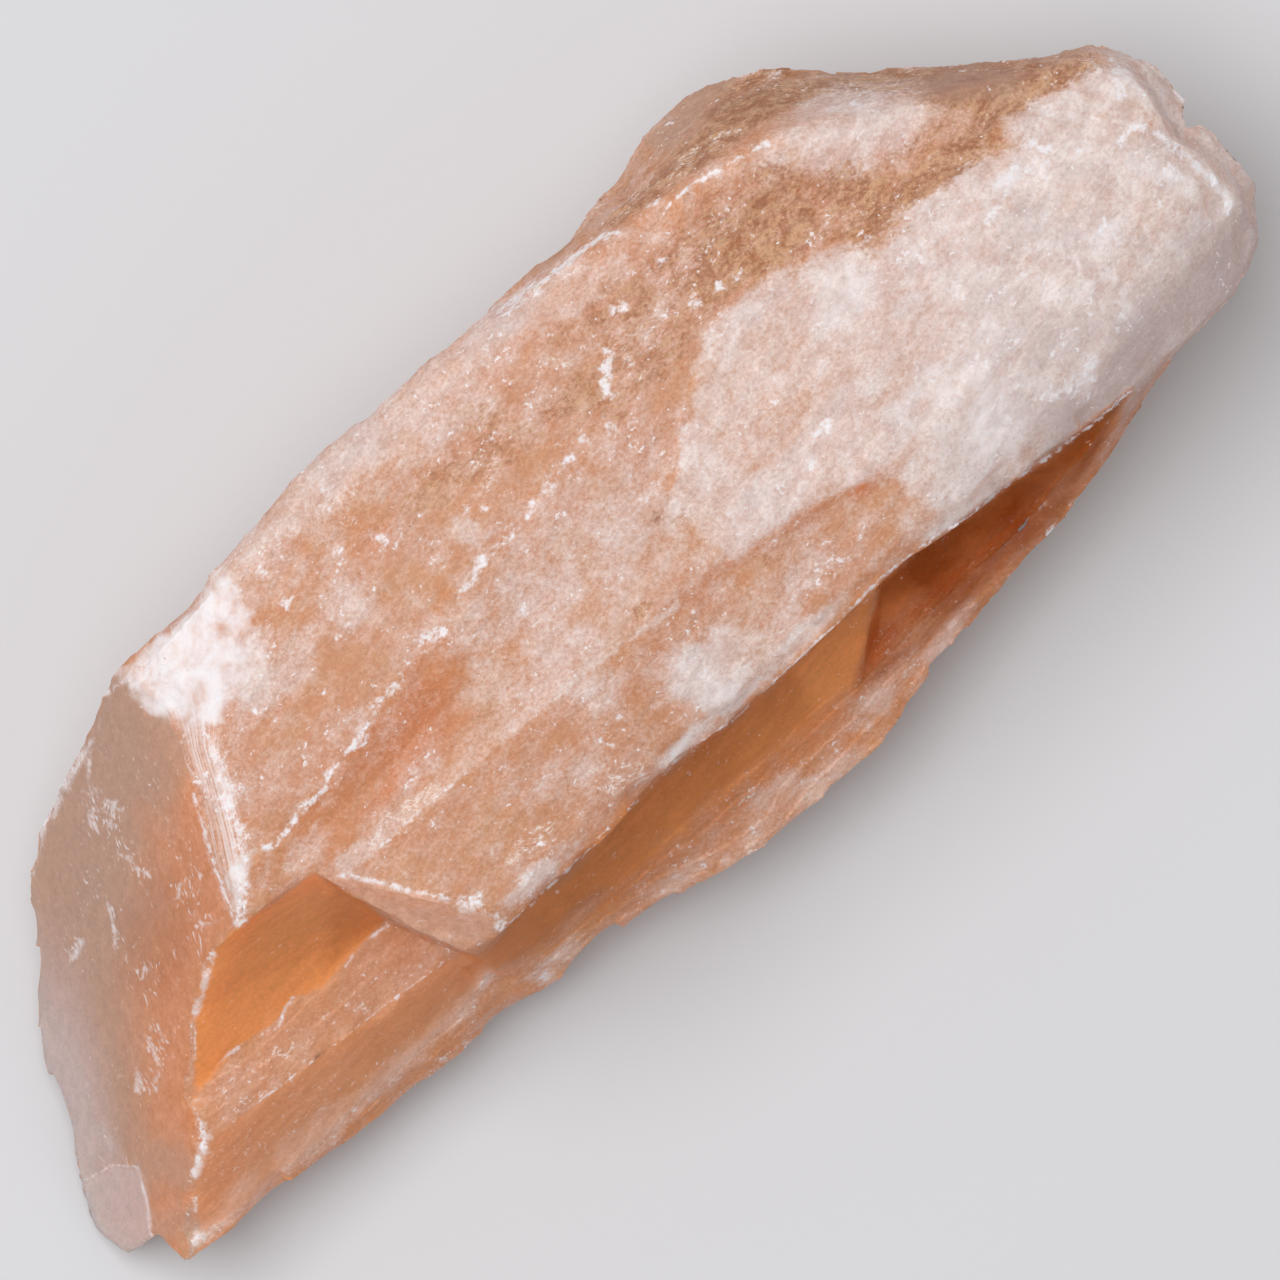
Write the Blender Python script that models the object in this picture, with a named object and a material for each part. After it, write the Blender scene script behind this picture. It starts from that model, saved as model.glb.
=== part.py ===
"""A rough cleaved piece of orange calcite, lying on its flat underside.

The stone is about 96 mm long. +X runs along it, from the long cleaved end to the blunt head,
+Y points to the high back and +Z points up. It is one solid: a block that was split along its
cleavages, so its long edges run nearly parallel from end to end. The script follows each of
those edges as a rail, lofts the block between the rails, cleaves both ends, and then takes the
broken-out recess and the smaller chips away with cutters.

Every x and y below is taken from a mark near the middle of the stone. The finished stone has
its origin under the middle of its box instead, so all points go through row_point.
"""

import bmesh
import bpy
import numpy as np
from mathutils import Vector

MM = 0.001

# Driving dimensions, in millimetres.
LOFT_START = -51.5  # the loft runs past both ends, which are then cleaved off
LOFT_END = 50.5
STATION_STEP = 1.5
FACE_WIDTH = 2.3  # a strip between two rails is divided into faces about this wide
MIDDLE_OF_BOX = (-0.49, 4.755)  # x and y, from the mark

# The long edges of the block, each as the points (x, y, z) that its course needs. They go
# round the block once: over the top from the back to the lip, down the broken front, and
# back under the foot.
BACK_EDGE = [
    (-52, 20.8, 21.4),
    (-25, 20.9, 21.8),
    (-19, 21.2, 23.0),
    (-12, 22.1, 24.0),
    (-6, 22.95, 24.6),
    (0, 22.2, 24.8),
    (5, 21.9, 24.2),
    (13, 22.0, 21.8),
    (17, 22.3, 20.4),
    (22.5, 23.4, 18.6),
    (25.8, 23.4, 18.0),
    (30, 21.4, 18.0),
    (36.5, 15.6, 18.6),
    (40, 12.6, 19.0),
    (42.3, 10.6, 19.4),
    (45, 9.5, 19.6),
    (51, 6.5, 19.6),
]
RIDGE = [
    (-52, 20.0, 24.0),
    (-20, 20.2, 24.6),
    (-6, 21.6, 25.4),
    (0, 21.4, 25.8),
    (10, 20.9, 26.6),
    (15, 20.4, 27.0),
    (20, 19.3, 27.3),
    (24, 18.6, 27.3),
    (28, 17.4, 26.9),
    (33, 14.8, 26.3),
    (38, 12.0, 25.2),
    (45, 8.6, 23.2),
    (51, 5.8, 22.0),
]
BACK_HOLLOW = [
    (-52, 14.5, 25.2),
    (-20, 14.5, 26.0),
    (-8, 16.0, 27.2),
    (0, 16.5, 27.3),
    (10, 15.8, 26.7),
    (20, 14.6, 26.1),
    (30, 11.2, 25.6),
    (38, 9.8, 24.9),
    (45, 7.6, 23.5),
    (51, 5.2, 22.2),
]
CREST = [
    (-52, 6.4, 25.2),
    (-24, 6.8, 26.0),
    (-15, 8.1, 27.3),
    (-5, 10.1, 28.3),
    (3, 11.6, 28.5),
    (10, 12.6, 28.0),
    (15, 11.7, 27.8),
    (20, 10.6, 27.7),
    (28, 9.0, 27.2),
    (36, 7.8, 26.2),
    (45, 6.0, 24.2),
    (51, 4.2, 22.8),
]
TOP_HOLLOW = [
    (-52, 5.6, 24.6),
    (-24, 5.3, 25.3),
    (-15, 5.6, 26.3),
    (-5, 6.0, 27.4),
    (5, 5.8, 28.1),
    (20, 5.0, 28.4),
    (30, 4.5, 27.6),
    (40, 3.6, 26.0),
    (45, 3.0, 24.7),
    (51, 2.2, 23.2),
]
STEP_TOP = [
    (-52, 3.6, 24.5),
    (-24, 3.5, 25.2),
    (-15, 3.2, 26.5),
    (-5, 2.5, 27.6),
    (5, 1.3, 28.3),
    (15, -0.4, 28.3),
    (18.7, -1.5, 28.1),
    (25, -1.6, 27.9),
    (35, -1.2, 26.6),
    (45, -0.8, 24.6),
    (51, -0.4, 23.0),
]
STEP_FOOT = [
    (-52, 2.6, 24.3),
    (-24, 2.5, 25.0),
    (-15, 2.3, 26.9),
    (-5, 1.7, 27.8),
    (2, 1.2, 28.0),
    (8, 0.3, 27.6),
    (15, -0.9, 27.3),
    (18.7, -2.1, 27.3),
    (22, -2.4, 27.7),
    (35, -2.0, 26.5),
    (45, -1.5, 24.4),
    (51, -1.0, 22.8),
]
SHOULDER = [
    (-52, -5.0, 25.0),
    (-17, -5.2, 25.6),
    (0, -5.3, 26.1),
    (12, -5.4, 26.4),
    (20, -5.9, 26.3),
    (27, -6.2, 25.5),
    (34, -5.2, 25.4),
    (40, -4.6, 24.4),
    (45, -3.8, 22.8),
    (51, -3.0, 21.2),
]
LIP_EDGE = [
    (-52, -6.4, 24.2),
    (-17, -6.5, 24.8),
    (-9, -6.35, 24.9),
    (-3, -6.0, 25.2),
    (1.5, -6.5, 25.3),
    (10, -6.45, 25.5),
    (16, -6.2, 25.4),
    (20, -6.9, 24.9),
    (25, -7.4, 24.3),
    (30, -7.9, 23.2),
    (36, -8.1, 22.0),
    (42, -7.7, 20.6),
    (45, -6.3, 20.0),
    (51, -3.4, 19.4),
]
LIP_UNDERSIDE = [
    (-52, -6.6, 22.0),
    (-17, -6.4, 22.6),
    (-9, -6.1, 22.8),
    (-3, -5.8, 23.2),
    (1.5, -6.2, 23.2),
    (10, -6.1, 23.4),
    (16, -5.9, 23.2),
    (25, -7.1, 22.2),
    (30, -7.9, 21.4),
    (36, -8.2, 20.4),
    (42, -7.8, 19.4),
    (45, -6.4, 19.0),
    (51, -3.5, 18.6),
]
UNDERCUT = [
    (-52, -7.6, 14.5),
    (-20, -7.3, 14.8),
    (-15, -6.2, 15.6),
    (-3, -5.7, 16.2),
    (10, -5.8, 16.6),
    (18, -6.2, 17.0),
    (25, -7.3, 18.0),
    (30, -8.1, 18.8),
    (36, -8.3, 18.8),
    (42, -7.9, 18.4),
    (45, -6.5, 18.2),
    (51, -3.6, 17.8),
]
APRON = [
    (-52, -8.0, 10.6),
    (-44, -8.1, 10.0),
    (-30, -8.7, 8.6),
    (-20, -8.8, 9.6),
    (-12, -9.2, 11.8),
    (0, -9.6, 13.2),
    (8, -9.7, 13.4),
    (15, -9.0, 13.8),
    (22, -9.1, 14.4),
    (30, -9.2, 16.2),
    (37, -8.3, 17.0),
    (42, -8.0, 17.2),
    (45, -6.6, 17.2),
    (51, -3.7, 17.0),
]
FRONT_EDGE = [
    (-52, -8.3, 9.6),
    (-44, -8.6, 8.6),
    (-40, -8.9, 7.4),
    (-30, -9.9, 5.6),
    (-20, -10.8, 5.6),
    (-12, -11.6, 7.0),
    (-8, -12.3, 8.0),
    (-5, -13.0, 8.8),
    (-1, -13.9, 9.4),
    (8, -13.8, 9.8),
    (10, -13.1, 10.0),
    (15, -12.2, 10.4),
    (20, -11.4, 11.2),
    (24, -11.3, 11.8),
    (30, -10.1, 13.4),
    (34, -8.8, 15.0),
    (37, -8.2, 15.8),
    (42, -7.9, 16.2),
    (45, -6.5, 16.2),
    (51, -3.6, 16.0),
]
FOOT_FRONT = [
    (-52, -4.8, 1.0),
    (-48, -5.0, 1.2),
    (-44, -5.6, 1.7),
    (-30, -4.8, 0.6),
    (-20, -4.8, 0.0),
    (0, -6.0, 0.0),
    (14, -5.4, 0.0),
    (25, -5.0, 2.7),
    (37, -3.4, 7.4),
    (51, -1.6, 11.8),
]
FOOT_BACK = [
    (-52, -4.2, 0.8),
    (-48, -1.5, 1.0),
    (-46.5, 0.6, 1.8),
    (-45.5, 2.2, 2.3),
    (-44, 6.2, 2.1),
    (-41.5, 7.4, 1.7),
    (-37, 8.2, 1.3),
    (-30, 8.6, 0.8),
    (-20, 8.8, 0.0),
    (0, 9.3, 0.0),
    (14, 9.4, 0.0),
    (25, 9.2, 2.9),
    (37, 6.6, 7.8),
    (51, 3.2, 12.2),
]
BACK_WALL = [
    (-52, -1.0, 3.0),
    (-48, 1.6, 3.2),
    (-45.5, 6.0, 3.8),
    (-44, 9.2, 4.2),
    (-41.5, 12.4, 6.0),
    (-38.5, 14.8, 7.6),
    (-37, 16.8, 8.8),
    (-30, 17.6, 11.5),
    (-10, 16.9, 12.0),
    (5, 16.6, 11.4),
    (15, 17.4, 10.8),
    (24, 17.8, 10.8),
    (32, 15.2, 12.6),
    (40, 10.2, 14.4),
    (51, 4.6, 16.0),
]
RAILS = (
    BACK_EDGE,
    RIDGE,
    BACK_HOLLOW,
    CREST,
    TOP_HOLLOW,
    STEP_TOP,
    STEP_FOOT,
    SHOULDER,
    LIP_EDGE,
    LIP_UNDERSIDE,
    UNDERCUT,
    APRON,
    FRONT_EDGE,
    FOOT_FRONT,
    FOOT_BACK,
    BACK_WALL,
)

# The planes that cleave the ends: a point on each, and the way it faces.
CLEAVED_ENDS = {
    "end_face": ((-24.0, 16.0, 25.0), (-1.385, 0.526, 1.0)),
    "bruised_edge": ((-24.2, 13.0, 25.2), (-0.60, 0.34, 1.0)),
    "tip_side": ((-48.3, -4.5, 2.0), (-1.0, -0.42, -0.25)),
    "head_top": ((45.7, 1.0, 23.5), (1.0, -0.04, 0.34)),
    "head_back": ((46.2, 7.9, 19.5), (1.0, 0.50, 0.15)),
    "head_front": ((46.3, -5.3, 20.0), (1.0, -0.9, -0.1)),
    "head_under": ((47.25, 1.0, 18.0), (1.0, 0.0, -0.75)),
}

# The corners of each cutter. It is the smallest solid that has them all on or inside it.
RECESS = [
    # the top edge of the wall, where it leaves the upper face
    (-23.6, 4.2, 34.0),
    (-23.3, 3.9, 25.0),
    (-31.0, 4.5, 21.3),
    (-55.0, 4.9, 34.0),
    (-55.0, 4.6, 21.0),
    (-34.5, 2.6, 17.3),
    # the foot of the wall, and the ledge carried on outwards
    (-22.3, -1.2, 13.9),
    (-55.0, -1.0, 14.4),
    (-55.0, -14.0, 10.8),
    (-17.2, -14.0, 10.4),
    # above the ledge's outer end
    (-20.0, -5.75, 34.0),
    (-17.2, -14.0, 34.0),
    (-55.0, -14.0, 34.0),
]
LEDGE = [
    # the straight edge of the ledge
    (-55.0, -2.6, 13.75),
    (-20.0, -5.72, 12.6),
    # the slope below it, carried on past the front
    (-55.0, -14.0, 4.2),
    (-19.4, -8.3, 9.6),
    (-18.2, -14.0, 3.0),
    # well above the slope
    (-55.0, -2.4, 18.0),
    (-20.0, -5.7, 18.0),
    (-18.2, -14.0, 18.0),
    (-55.0, -14.0, 18.0),
]
LIP_CORNER = [
    # the line that the corner is bevelled from, on the upper face
    (-23.3, 3.9, 25.35),
    (-16.8, -5.8, 25.4),
    (-16.2, -7.6, 24.6),
    # the edge that the bevel ends at
    (-22.2, 0.0, 23.8),
    (-20.0, -5.75, 22.6),
    (-18.0, -7.6, 22.4),
    (-26.0, -5.75, 22.8),
    (-26.0, 2.0, 25.0),
    (-26.0, -7.6, 28.0),
    (-23.3, 3.9, 28.0),
    (-16.2, -7.6, 28.0),
]
FRONT_HOLLOW = [
    # the crease that it starts at
    (14.2, -6.3, 17.4),
    (8.2, -10.6, 13.2),
    # its floor, under the lip
    (15.0, -5.6, 13.8),
    (11.8, -8.8, 11.8),
    (24.0, -6.4, 15.4),
    (24.0, -9.2, 12.8),
    # its right-hand end and the open side
    (32.0, -8.4, 18.6),
    (14.0, -15.0, 21.0),
    (31.0, -15.0, 22.0),
    (14.2, -6.1, 20.4),
    (24.0, -6.9, 21.0),
]
TIP_NOTCH = [
    (-45.4, -6.0, -2.0),
    (-45.2, -12.0, -2.0),
    (-56.0, -12.0, -2.0),
    (-56.0, -5.4, -2.0),
    (-45.7, -6.1, 14.0),
    (-45.2, -12.0, 14.0),
    (-56.0, -12.0, 14.0),
    (-56.0, -5.4, 14.0),
]
HEAD_CHIP = [
    # the notch in the middle of the head
    (46.1, 1.5, 18.0),
    (48.6, 3.4, 17.0),
    (48.6, -0.6, 17.0),
    (46.6, 1.6, 24.4),
    (48.0, 3.2, 25.0),
    (48.0, 0.2, 25.0),
    (46.9, 1.4, 12.0),
    (49.6, 1.4, 18.0),
]
CUTTERS = {
    "recess_cutter": RECESS,
    "ledge_cutter": LEDGE,
    "lip_corner_cutter": LIP_CORNER,
    "front_hollow_cutter": FRONT_HOLLOW,
    "tip_notch_cutter": TIP_NOTCH,
    "head_chip_cutter": HEAD_CHIP,
}

CALCITE_COLOUR = (0.72, 0.40, 0.24, 1.0)
CALCITE_ROUGHNESS = 0.45


def start_clean():
    for old in list(bpy.data.objects):
        bpy.data.objects.remove(old)


def row_point(point):
    """A point in metres from the origin, from its millimetres from the mark."""
    return (Vector(point) - Vector((*MIDDLE_OF_BOX, 0))) * MM


def rail_point(rail, x):
    xs, ys, zs = zip(*rail)
    return Vector((x, np.interp(x, xs, ys), np.interp(x, xs, zs)))


def strip_widths():
    """The widest that each strip between neighbouring rails gets along the block."""
    widths = []
    for i, rail in enumerate(RAILS):
        following = RAILS[(i + 1) % len(RAILS)]
        places = np.linspace(-45, 45, 31)
        widths.append(max((rail_point(rail, x) - rail_point(following, x)).length for x in places))
    return widths


def section(x, divisions):
    """The block's outline at x: every rail, and even points between it and the next."""
    outline = []
    for i, rail in enumerate(RAILS):
        here = rail_point(rail, x)
        there = rail_point(RAILS[(i + 1) % len(RAILS)], x)
        for k in range(divisions[i]):
            outline.append(row_point(here.lerp(there, k / divisions[i])))
    return outline


def loft_block():
    """The closed block between the rails, from one end section to the other."""
    block = bmesh.new()
    divisions = [max(1, round(width / FACE_WIDTH)) for width in strip_widths()]
    stations = np.arange(LOFT_START, LOFT_END + STATION_STEP / 2, STATION_STEP)
    rings = [[block.verts.new(p) for p in section(x, divisions)] for x in stations]
    for near, far in zip(rings, rings[1:]):
        for i in range(len(near)):
            j = (i + 1) % len(near)
            block.faces.new((near[i], near[j], far[j], far[i]))
    block.faces.new(rings[0])
    block.faces.new(rings[-1])
    bmesh.ops.triangulate(block, faces=block.faces, quad_method="SHORT_EDGE")
    bmesh.ops.recalc_face_normals(block, faces=block.faces)
    return block


def cleave(block, point, facing):
    """Splits off everything on the facing side of the plane, and closes the new face."""
    split = bmesh.ops.bisect_plane(
        block,
        geom=block.verts[:] + block.edges[:] + block.faces[:],
        plane_co=row_point(point),
        plane_no=Vector(facing),
        clear_outer=True,
    )
    cut_edges = [e for e in split["geom_cut"] if isinstance(e, bmesh.types.BMEdge)]
    bmesh.ops.holes_fill(block, edges=cut_edges)
    bmesh.ops.triangulate(block, faces=[f for f in block.faces if len(f.verts) > 3])


def calcite_material():
    material = bpy.data.materials.new("orange_calcite")
    material.use_nodes = True
    shader = material.node_tree.nodes["Principled BSDF"]
    shader.inputs["Base Color"].default_value = CALCITE_COLOUR
    shader.inputs["Roughness"].default_value = CALCITE_ROUGHNESS
    material.diffuse_color = CALCITE_COLOUR
    return material


def new_collection(name):
    collection = bpy.data.collections.new(name)
    bpy.context.scene.collection.children.link(collection)
    return collection


def object_from(block, name, collection):
    mesh = bpy.data.meshes.new(name)
    block.to_mesh(mesh)
    block.free()
    made = bpy.data.objects.new(name, mesh)
    collection.objects.link(made)
    return made


def make_cutter(name, corners, collection):
    """A convex cutter around its corners."""
    solid = bmesh.new()
    for corner in corners:
        solid.verts.new(row_point(corner))
    hull = bmesh.ops.convex_hull(solid, input=solid.verts[:])
    unused = [v for v in hull["geom_interior"] if isinstance(v, bmesh.types.BMVert)]
    bmesh.ops.delete(solid, geom=unused, context="VERTS")
    bmesh.ops.recalc_face_normals(solid, faces=solid.faces)
    cutter = object_from(solid, name, collection)
    cutter.hide_render = True
    cutter.display_type = "WIRE"
    return cutter


def cut_away(stone, cutter):
    cut = stone.modifiers.new(cutter.name, "BOOLEAN")
    cut.operation = "DIFFERENCE"
    cut.solver = "EXACT"
    cut.object = cutter


def make_calcite():
    block = loft_block()
    for point, facing in CLEAVED_ENDS.values():
        cleave(block, point, facing)
    calcite = object_from(block, "calcite", new_collection("calcite"))
    calcite.data.materials.append(calcite_material())
    cutters = new_collection("cutters")
    for name, corners in CUTTERS.items():
        cut_away(calcite, make_cutter(name, corners, cutters))


start_clean()
make_calcite()
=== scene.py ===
# %% [markdown]
# # A cleaved piece of orange calcite
#
# Calcite splits along flat planes, so a broken lump of it is a mix of two surfaces: smooth
# cleavage planes that light sinks into, and a rough frosted crust of countless tiny steps.
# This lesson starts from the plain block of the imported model, gives it a fine skin, breaks
# that skin as the real stone is broken, and then paints and finishes it.
#
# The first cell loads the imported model. Its one node is the whole stone at its real size,
# and the box round it is what the finished stone has to stay inside.

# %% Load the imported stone
import itertools
import math

import bpy
import numpy as np
from mathutils import Matrix, Vector


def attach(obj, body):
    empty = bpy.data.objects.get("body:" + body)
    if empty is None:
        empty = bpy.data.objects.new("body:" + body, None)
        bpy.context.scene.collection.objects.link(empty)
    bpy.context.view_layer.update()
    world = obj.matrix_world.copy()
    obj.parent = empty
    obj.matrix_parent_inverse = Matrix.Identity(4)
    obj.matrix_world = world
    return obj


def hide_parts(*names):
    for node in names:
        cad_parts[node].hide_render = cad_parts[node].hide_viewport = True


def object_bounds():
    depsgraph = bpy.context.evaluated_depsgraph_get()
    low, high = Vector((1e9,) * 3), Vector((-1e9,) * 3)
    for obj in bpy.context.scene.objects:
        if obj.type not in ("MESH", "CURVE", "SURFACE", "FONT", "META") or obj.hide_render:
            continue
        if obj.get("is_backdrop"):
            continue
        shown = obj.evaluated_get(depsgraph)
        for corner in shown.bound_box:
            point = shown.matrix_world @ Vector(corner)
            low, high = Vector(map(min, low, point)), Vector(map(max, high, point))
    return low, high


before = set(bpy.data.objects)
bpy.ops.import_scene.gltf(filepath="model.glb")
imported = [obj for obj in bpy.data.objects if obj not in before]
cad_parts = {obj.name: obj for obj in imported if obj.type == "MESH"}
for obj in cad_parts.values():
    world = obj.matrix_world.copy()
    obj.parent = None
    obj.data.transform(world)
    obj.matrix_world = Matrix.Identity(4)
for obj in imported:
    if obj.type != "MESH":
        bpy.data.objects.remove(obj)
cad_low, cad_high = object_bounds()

MM = 0.001
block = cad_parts["calcite"]
print("block:", [round((high - low) / MM, 1) for low, high in zip(cad_low, cad_high)], "mm")

# %% [markdown]
# ## Millimetres from a mark
#
# Every edge and stain below was measured in millimetres from a mark near the middle of the
# stone, with x along it and y towards its high back. Blender works in metres from the
# model's own origin. Two small functions go from one to the other, and they move all of a
# mesh's points in one array, because a loop over single points would take minutes.

# %% Reading and writing a mesh in millimetres
MARK = np.array((0.49, -4.755, 0.0))  # where the mark lies, in millimetres from the origin


def read_points(piece):
    """The mesh's points as rows of x, y and z, in millimetres from the mark."""
    flat = np.empty(len(piece.data.vertices) * 3, np.float32)
    piece.data.vertices.foreach_get("co", flat)
    return flat.reshape(-1, 3).astype(float) / MM - MARK


def write_points(piece, points):
    flat = ((points + MARK) * MM).astype(np.float32).ravel()
    piece.data.vertices.foreach_set("co", flat)
    piece.data.update()


def read_facing(piece):
    """The way the surface faces at each point."""
    flat = np.empty(len(piece.data.vertices) * 3, np.float32)
    piece.data.vertex_normals.foreach_get("vector", flat)
    return flat.reshape(-1, 3).astype(float)


# %% [markdown]
# ## A fine skin over the block
#
# The block is made of a few thousand large triangles, far too few to carry chips half a
# millimetre deep. A copy of it is merged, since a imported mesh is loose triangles, and then
# remeshed. The Remesh modifier's sharp mode is the one that keeps cleavage edges crisp: the
# voxel mode would round them all and leave a saw-tooth along every slanting one.

# %% Copy the block and remesh it
SKIN_DEPTH = 9  # the remesh grid has 2 to this power cells along the stone


def merged_copy(node, name):
    bpy.ops.object.select_all(action="DESELECT")
    piece = bpy.data.objects.new(name, node.data.copy())
    bpy.context.scene.collection.objects.link(piece)
    bpy.context.view_layer.objects.active = piece
    piece.select_set(True)
    bpy.ops.object.mode_set(mode="EDIT")
    bpy.ops.mesh.select_all(action="SELECT")
    bpy.ops.mesh.remove_doubles(threshold=0.001 * MM)
    bpy.ops.object.mode_set(mode="OBJECT")
    return piece


def apply_modifier(piece, kind, **settings):
    modifier = piece.modifiers.new(kind.lower(), kind)
    for name, value in settings.items():
        setattr(modifier, name, value)
    bpy.ops.object.modifier_apply(modifier=modifier.name)


stone = merged_copy(block, "calcite_stone")
apply_modifier(stone, "REMESH", mode="SHARP", octree_depth=SKIN_DEPTH, scale=0.95, sharpness=1.0)
print("fine skin:", len(stone.data.polygons), "faces")

# %% [markdown]
# ## Two kinds of unevenness
#
# Nothing on a broken stone is even, and nothing on it is regular. Two sorts of noise give
# that. `drift` rises and falls smoothly, like the swells of a frosted face or the clouding
# in the stone. `crystals` divides space into cells and tilts the surface a different way in
# each, as the corners of small crystals do. Both are seeded, so each run gives one stone.

# %% Smooth noise and crystal cells
CORNERS = np.array(list(itertools.product((0, 1), repeat=3)))
NEIGHBOURS = np.array(list(itertools.product((-1, 0, 1), repeat=3)))
HASH_SIZE = 4096
OCTAVES = 3  # each is half as large as the one before, and half as strong


def scrambled(cells, seed):
    """One number from 0 to HASH_SIZE - 1 for each whole-number cell."""
    mixed = cells[:, 0] * 73856093 ^ cells[:, 1] * 19349663 ^ cells[:, 2] * 83492791
    mixed = (mixed + seed * 2654435) ^ (mixed >> 11)
    mixed = mixed * 1274126177 & 0xFFFFFFFF
    return (mixed ^ (mixed >> 15)) % HASH_SIZE


def smooth(share):
    """0 up to 0, 1 from 1 on, and an even S-curve between."""
    share = np.clip(share, 0.0, 1.0)
    return share * share * (3.0 - 2.0 * share)


def drift(points, size, seed):
    """Smooth unevenness from about -1 to 1 that changes over `size` millimetres."""
    slopes = np.random.default_rng(seed).normal(size=(HASH_SIZE, 3))
    slopes /= np.linalg.norm(slopes, axis=1, keepdims=True)
    place = points / np.asarray(size, float) + 31.7
    total = np.zeros(len(points))
    strength = 1.0
    for _ in range(OCTAVES):
        cell = np.floor(place)
        within = place - cell
        cell = cell.astype(np.int64)
        fade = smooth(within)
        shares = (1.0 - fade, fade)
        for corner in CORNERS:
            slope = slopes[scrambled(cell + corner, seed)]
            rise = np.einsum("ij,ij->i", slope, within - corner)
            share = shares[corner[0]][:, 0] * shares[corner[1]][:, 1] * shares[corner[2]][:, 2]
            total += strength * share * rise
        place = place * 2.03 + 5.3
        strength *= 0.5
    return 1.4 * total


def crystals(points, size, seed):
    """A height that is a tilted plane in every crystal cell, from about -1 to 1."""
    rng = np.random.default_rng(seed)
    shifts = rng.random((HASH_SIZE, 3))
    tilts = rng.normal(size=(HASH_SIZE, 3))
    place = points / np.asarray(size, float) + 17.1
    cell = np.floor(place).astype(np.int64)
    nearest = np.full(len(points), np.inf)
    height = np.zeros(len(points))
    for neighbour in NEIGHBOURS:
        spot = cell + neighbour
        key = scrambled(spot, seed)
        offset = place - spot - shifts[key]
        gap = np.einsum("ij,ij->i", offset, offset)
        nearer = gap < nearest
        nearest[nearer] = gap[nearer]
        height[nearer] = np.einsum("ij,ij->i", offset[nearer], tilts[key[nearer]])
    return height


# %% [markdown]
# ## Drawing on the stone from above
#
# The stone lies flat and is looked at from above, so most of its features are easiest to
# place on a plan of it. A feature is a line or an outline of a few points, and these
# functions turn it into one number for each point of the mesh: how far it lies from the
# line, or how much it lies inside the outline. The border wanders with the noise, because a
# ruled border is the first thing that looks artificial on a stone.

# %% Lines and patches on the plan


def line_distance(points, line):
    """How far each point lies from the line, how far along the line, and on which side.

    The side is 1 to the left of the way that the line runs, and -1 to the right.
    """
    distance = np.full(len(points), np.inf)
    along = np.zeros(len(points))
    side = np.ones(len(points))
    gone = 0.0
    for start, end in zip(line, line[1:]):
        run = np.subtract(end, start)
        length = math.hypot(*run) + 1e-9
        offset = points[:, :2] - start
        share = np.clip(offset @ run / length**2, 0.0, 1.0)
        gap = np.hypot(*(offset - share[:, None] * run).T)
        nearer = gap < distance
        distance[nearer] = gap[nearer]
        along[nearer] = gone + share[nearer] * length
        side[nearer] = np.sign(run[0] * offset[nearer, 1] - run[1] * offset[nearer, 0])
        gone += length
    return distance, along, side


def patch(points, outline, edge, ragged=0.0, seed=1):
    """1 inside the outline and 0 outside, over a border `edge` millimetres wide."""
    ring = [*outline, outline[0]]
    x, y = points[:, 0], points[:, 1]
    inside = np.zeros(len(points), bool)
    for (ax, ay), (bx, by) in zip(ring, ring[1:]):
        if ay == by:
            continue
        crossing = ax + (y - ay) / (by - ay) * (bx - ax)
        inside ^= ((ay > y) != (by > y)) & (x < crossing)
    depth = np.where(inside, 1.0, -1.0) * line_distance(points, ring)[0]
    if ragged:
        close = np.abs(depth) < edge + 1.5 * ragged
        depth[close] += ragged * drift(points[close], 2.5, seed)
    return smooth(depth / edge + 0.5)


# %% [markdown]
# ## The faces of this stone
#
# These outlines are the plan of the stone's own faces: the broad cleaved end, the recess
# with its wall, ledge and slope, the bevel at the lip's corner, the smooth wall under the
# lip and the hollow at the front. Shape and colour both work from them.

# %% Outlines of the faces
BRUISE_FOOT = (-29, 4.6)
BRUISE_LEFT = [(-23.4, 20.2), (-23, 17), (-25, 12.5), (-27, 9), (-28.5, 5.8), BRUISE_FOOT]
BRUISE_RIGHT = [(-16.5, 20.6), (-20.5, 15.2), (-22.5, 13.5), (-24, 10.5), (-25, 8.5), (-26, 7), (-28, 5)]
RECESS_TOP = [(-31, 4.5), (-29, 4.6), (-26, 4.1), (-23.3, 3.9)]
RECESS_RIM = [
    (-44.4, -8.5), (-43.7, -7.7), (-42.5, -6), (-41.2, -4.7), (-39.5, -3.8), (-38.5, -1.8), (-36.5, 0.3),
    (-34.5, 2.5), (-33.5, 3.2), (-31, 4.5),
]
LIP_DROP = [
    (-23.3, 3.8), (-22.6, 2.5), (-22.3, 0.5), (-21.9, -1), (-21.2, -2.8), (-20.7, -4.2), (-20, -5.6),
    (-17.5, -6.5),
]
WALL_FOOT = [
    (-38.4, -1.6), (-37.5, -1.2), (-35, -1), (-34, -0.8), (-31.5, -1.3), (-29.5, -0.9), (-28, -1.7),
    (-26, -1.5), (-22.2, -1.2),
]
LEDGE_EDGE = [(-39.2, -3.9), (-35, -4.2), (-30, -4.7), (-25, -5.1), (-20, -5.7)]
LOWER_RIDGE = [(-43.5, -7.8), (-40, -8.3), (-35, -8.4), (-28, -8.4), (-21.5, -8.3), (-19, -7.7)]
BEVEL_LINE = [(-22.4, 3), (-21, 1.2), (-20, -0.5), (-19, -1.8), (-18, -3.5), (-17, -5.7)]
LIP_EDGE = [
    (-17.5, -6.4), (-15, -6.5), (-10, -6.4), (-8, -6.2), (-5, -6.2), (-2.5, -6), (0, -6.2), (1.5, -6.5),
    (5, -6.5), (10, -6.4), (14, -6.2), (18, -6.5), (20, -7), (24, -7.3), (27, -7.7), (30, -8), (33, -8.1),
]
FRONT_CREASE = [(14, -6.4), (12, -7.8), (10, -9.2), (8.5, -10.3)]
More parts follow.
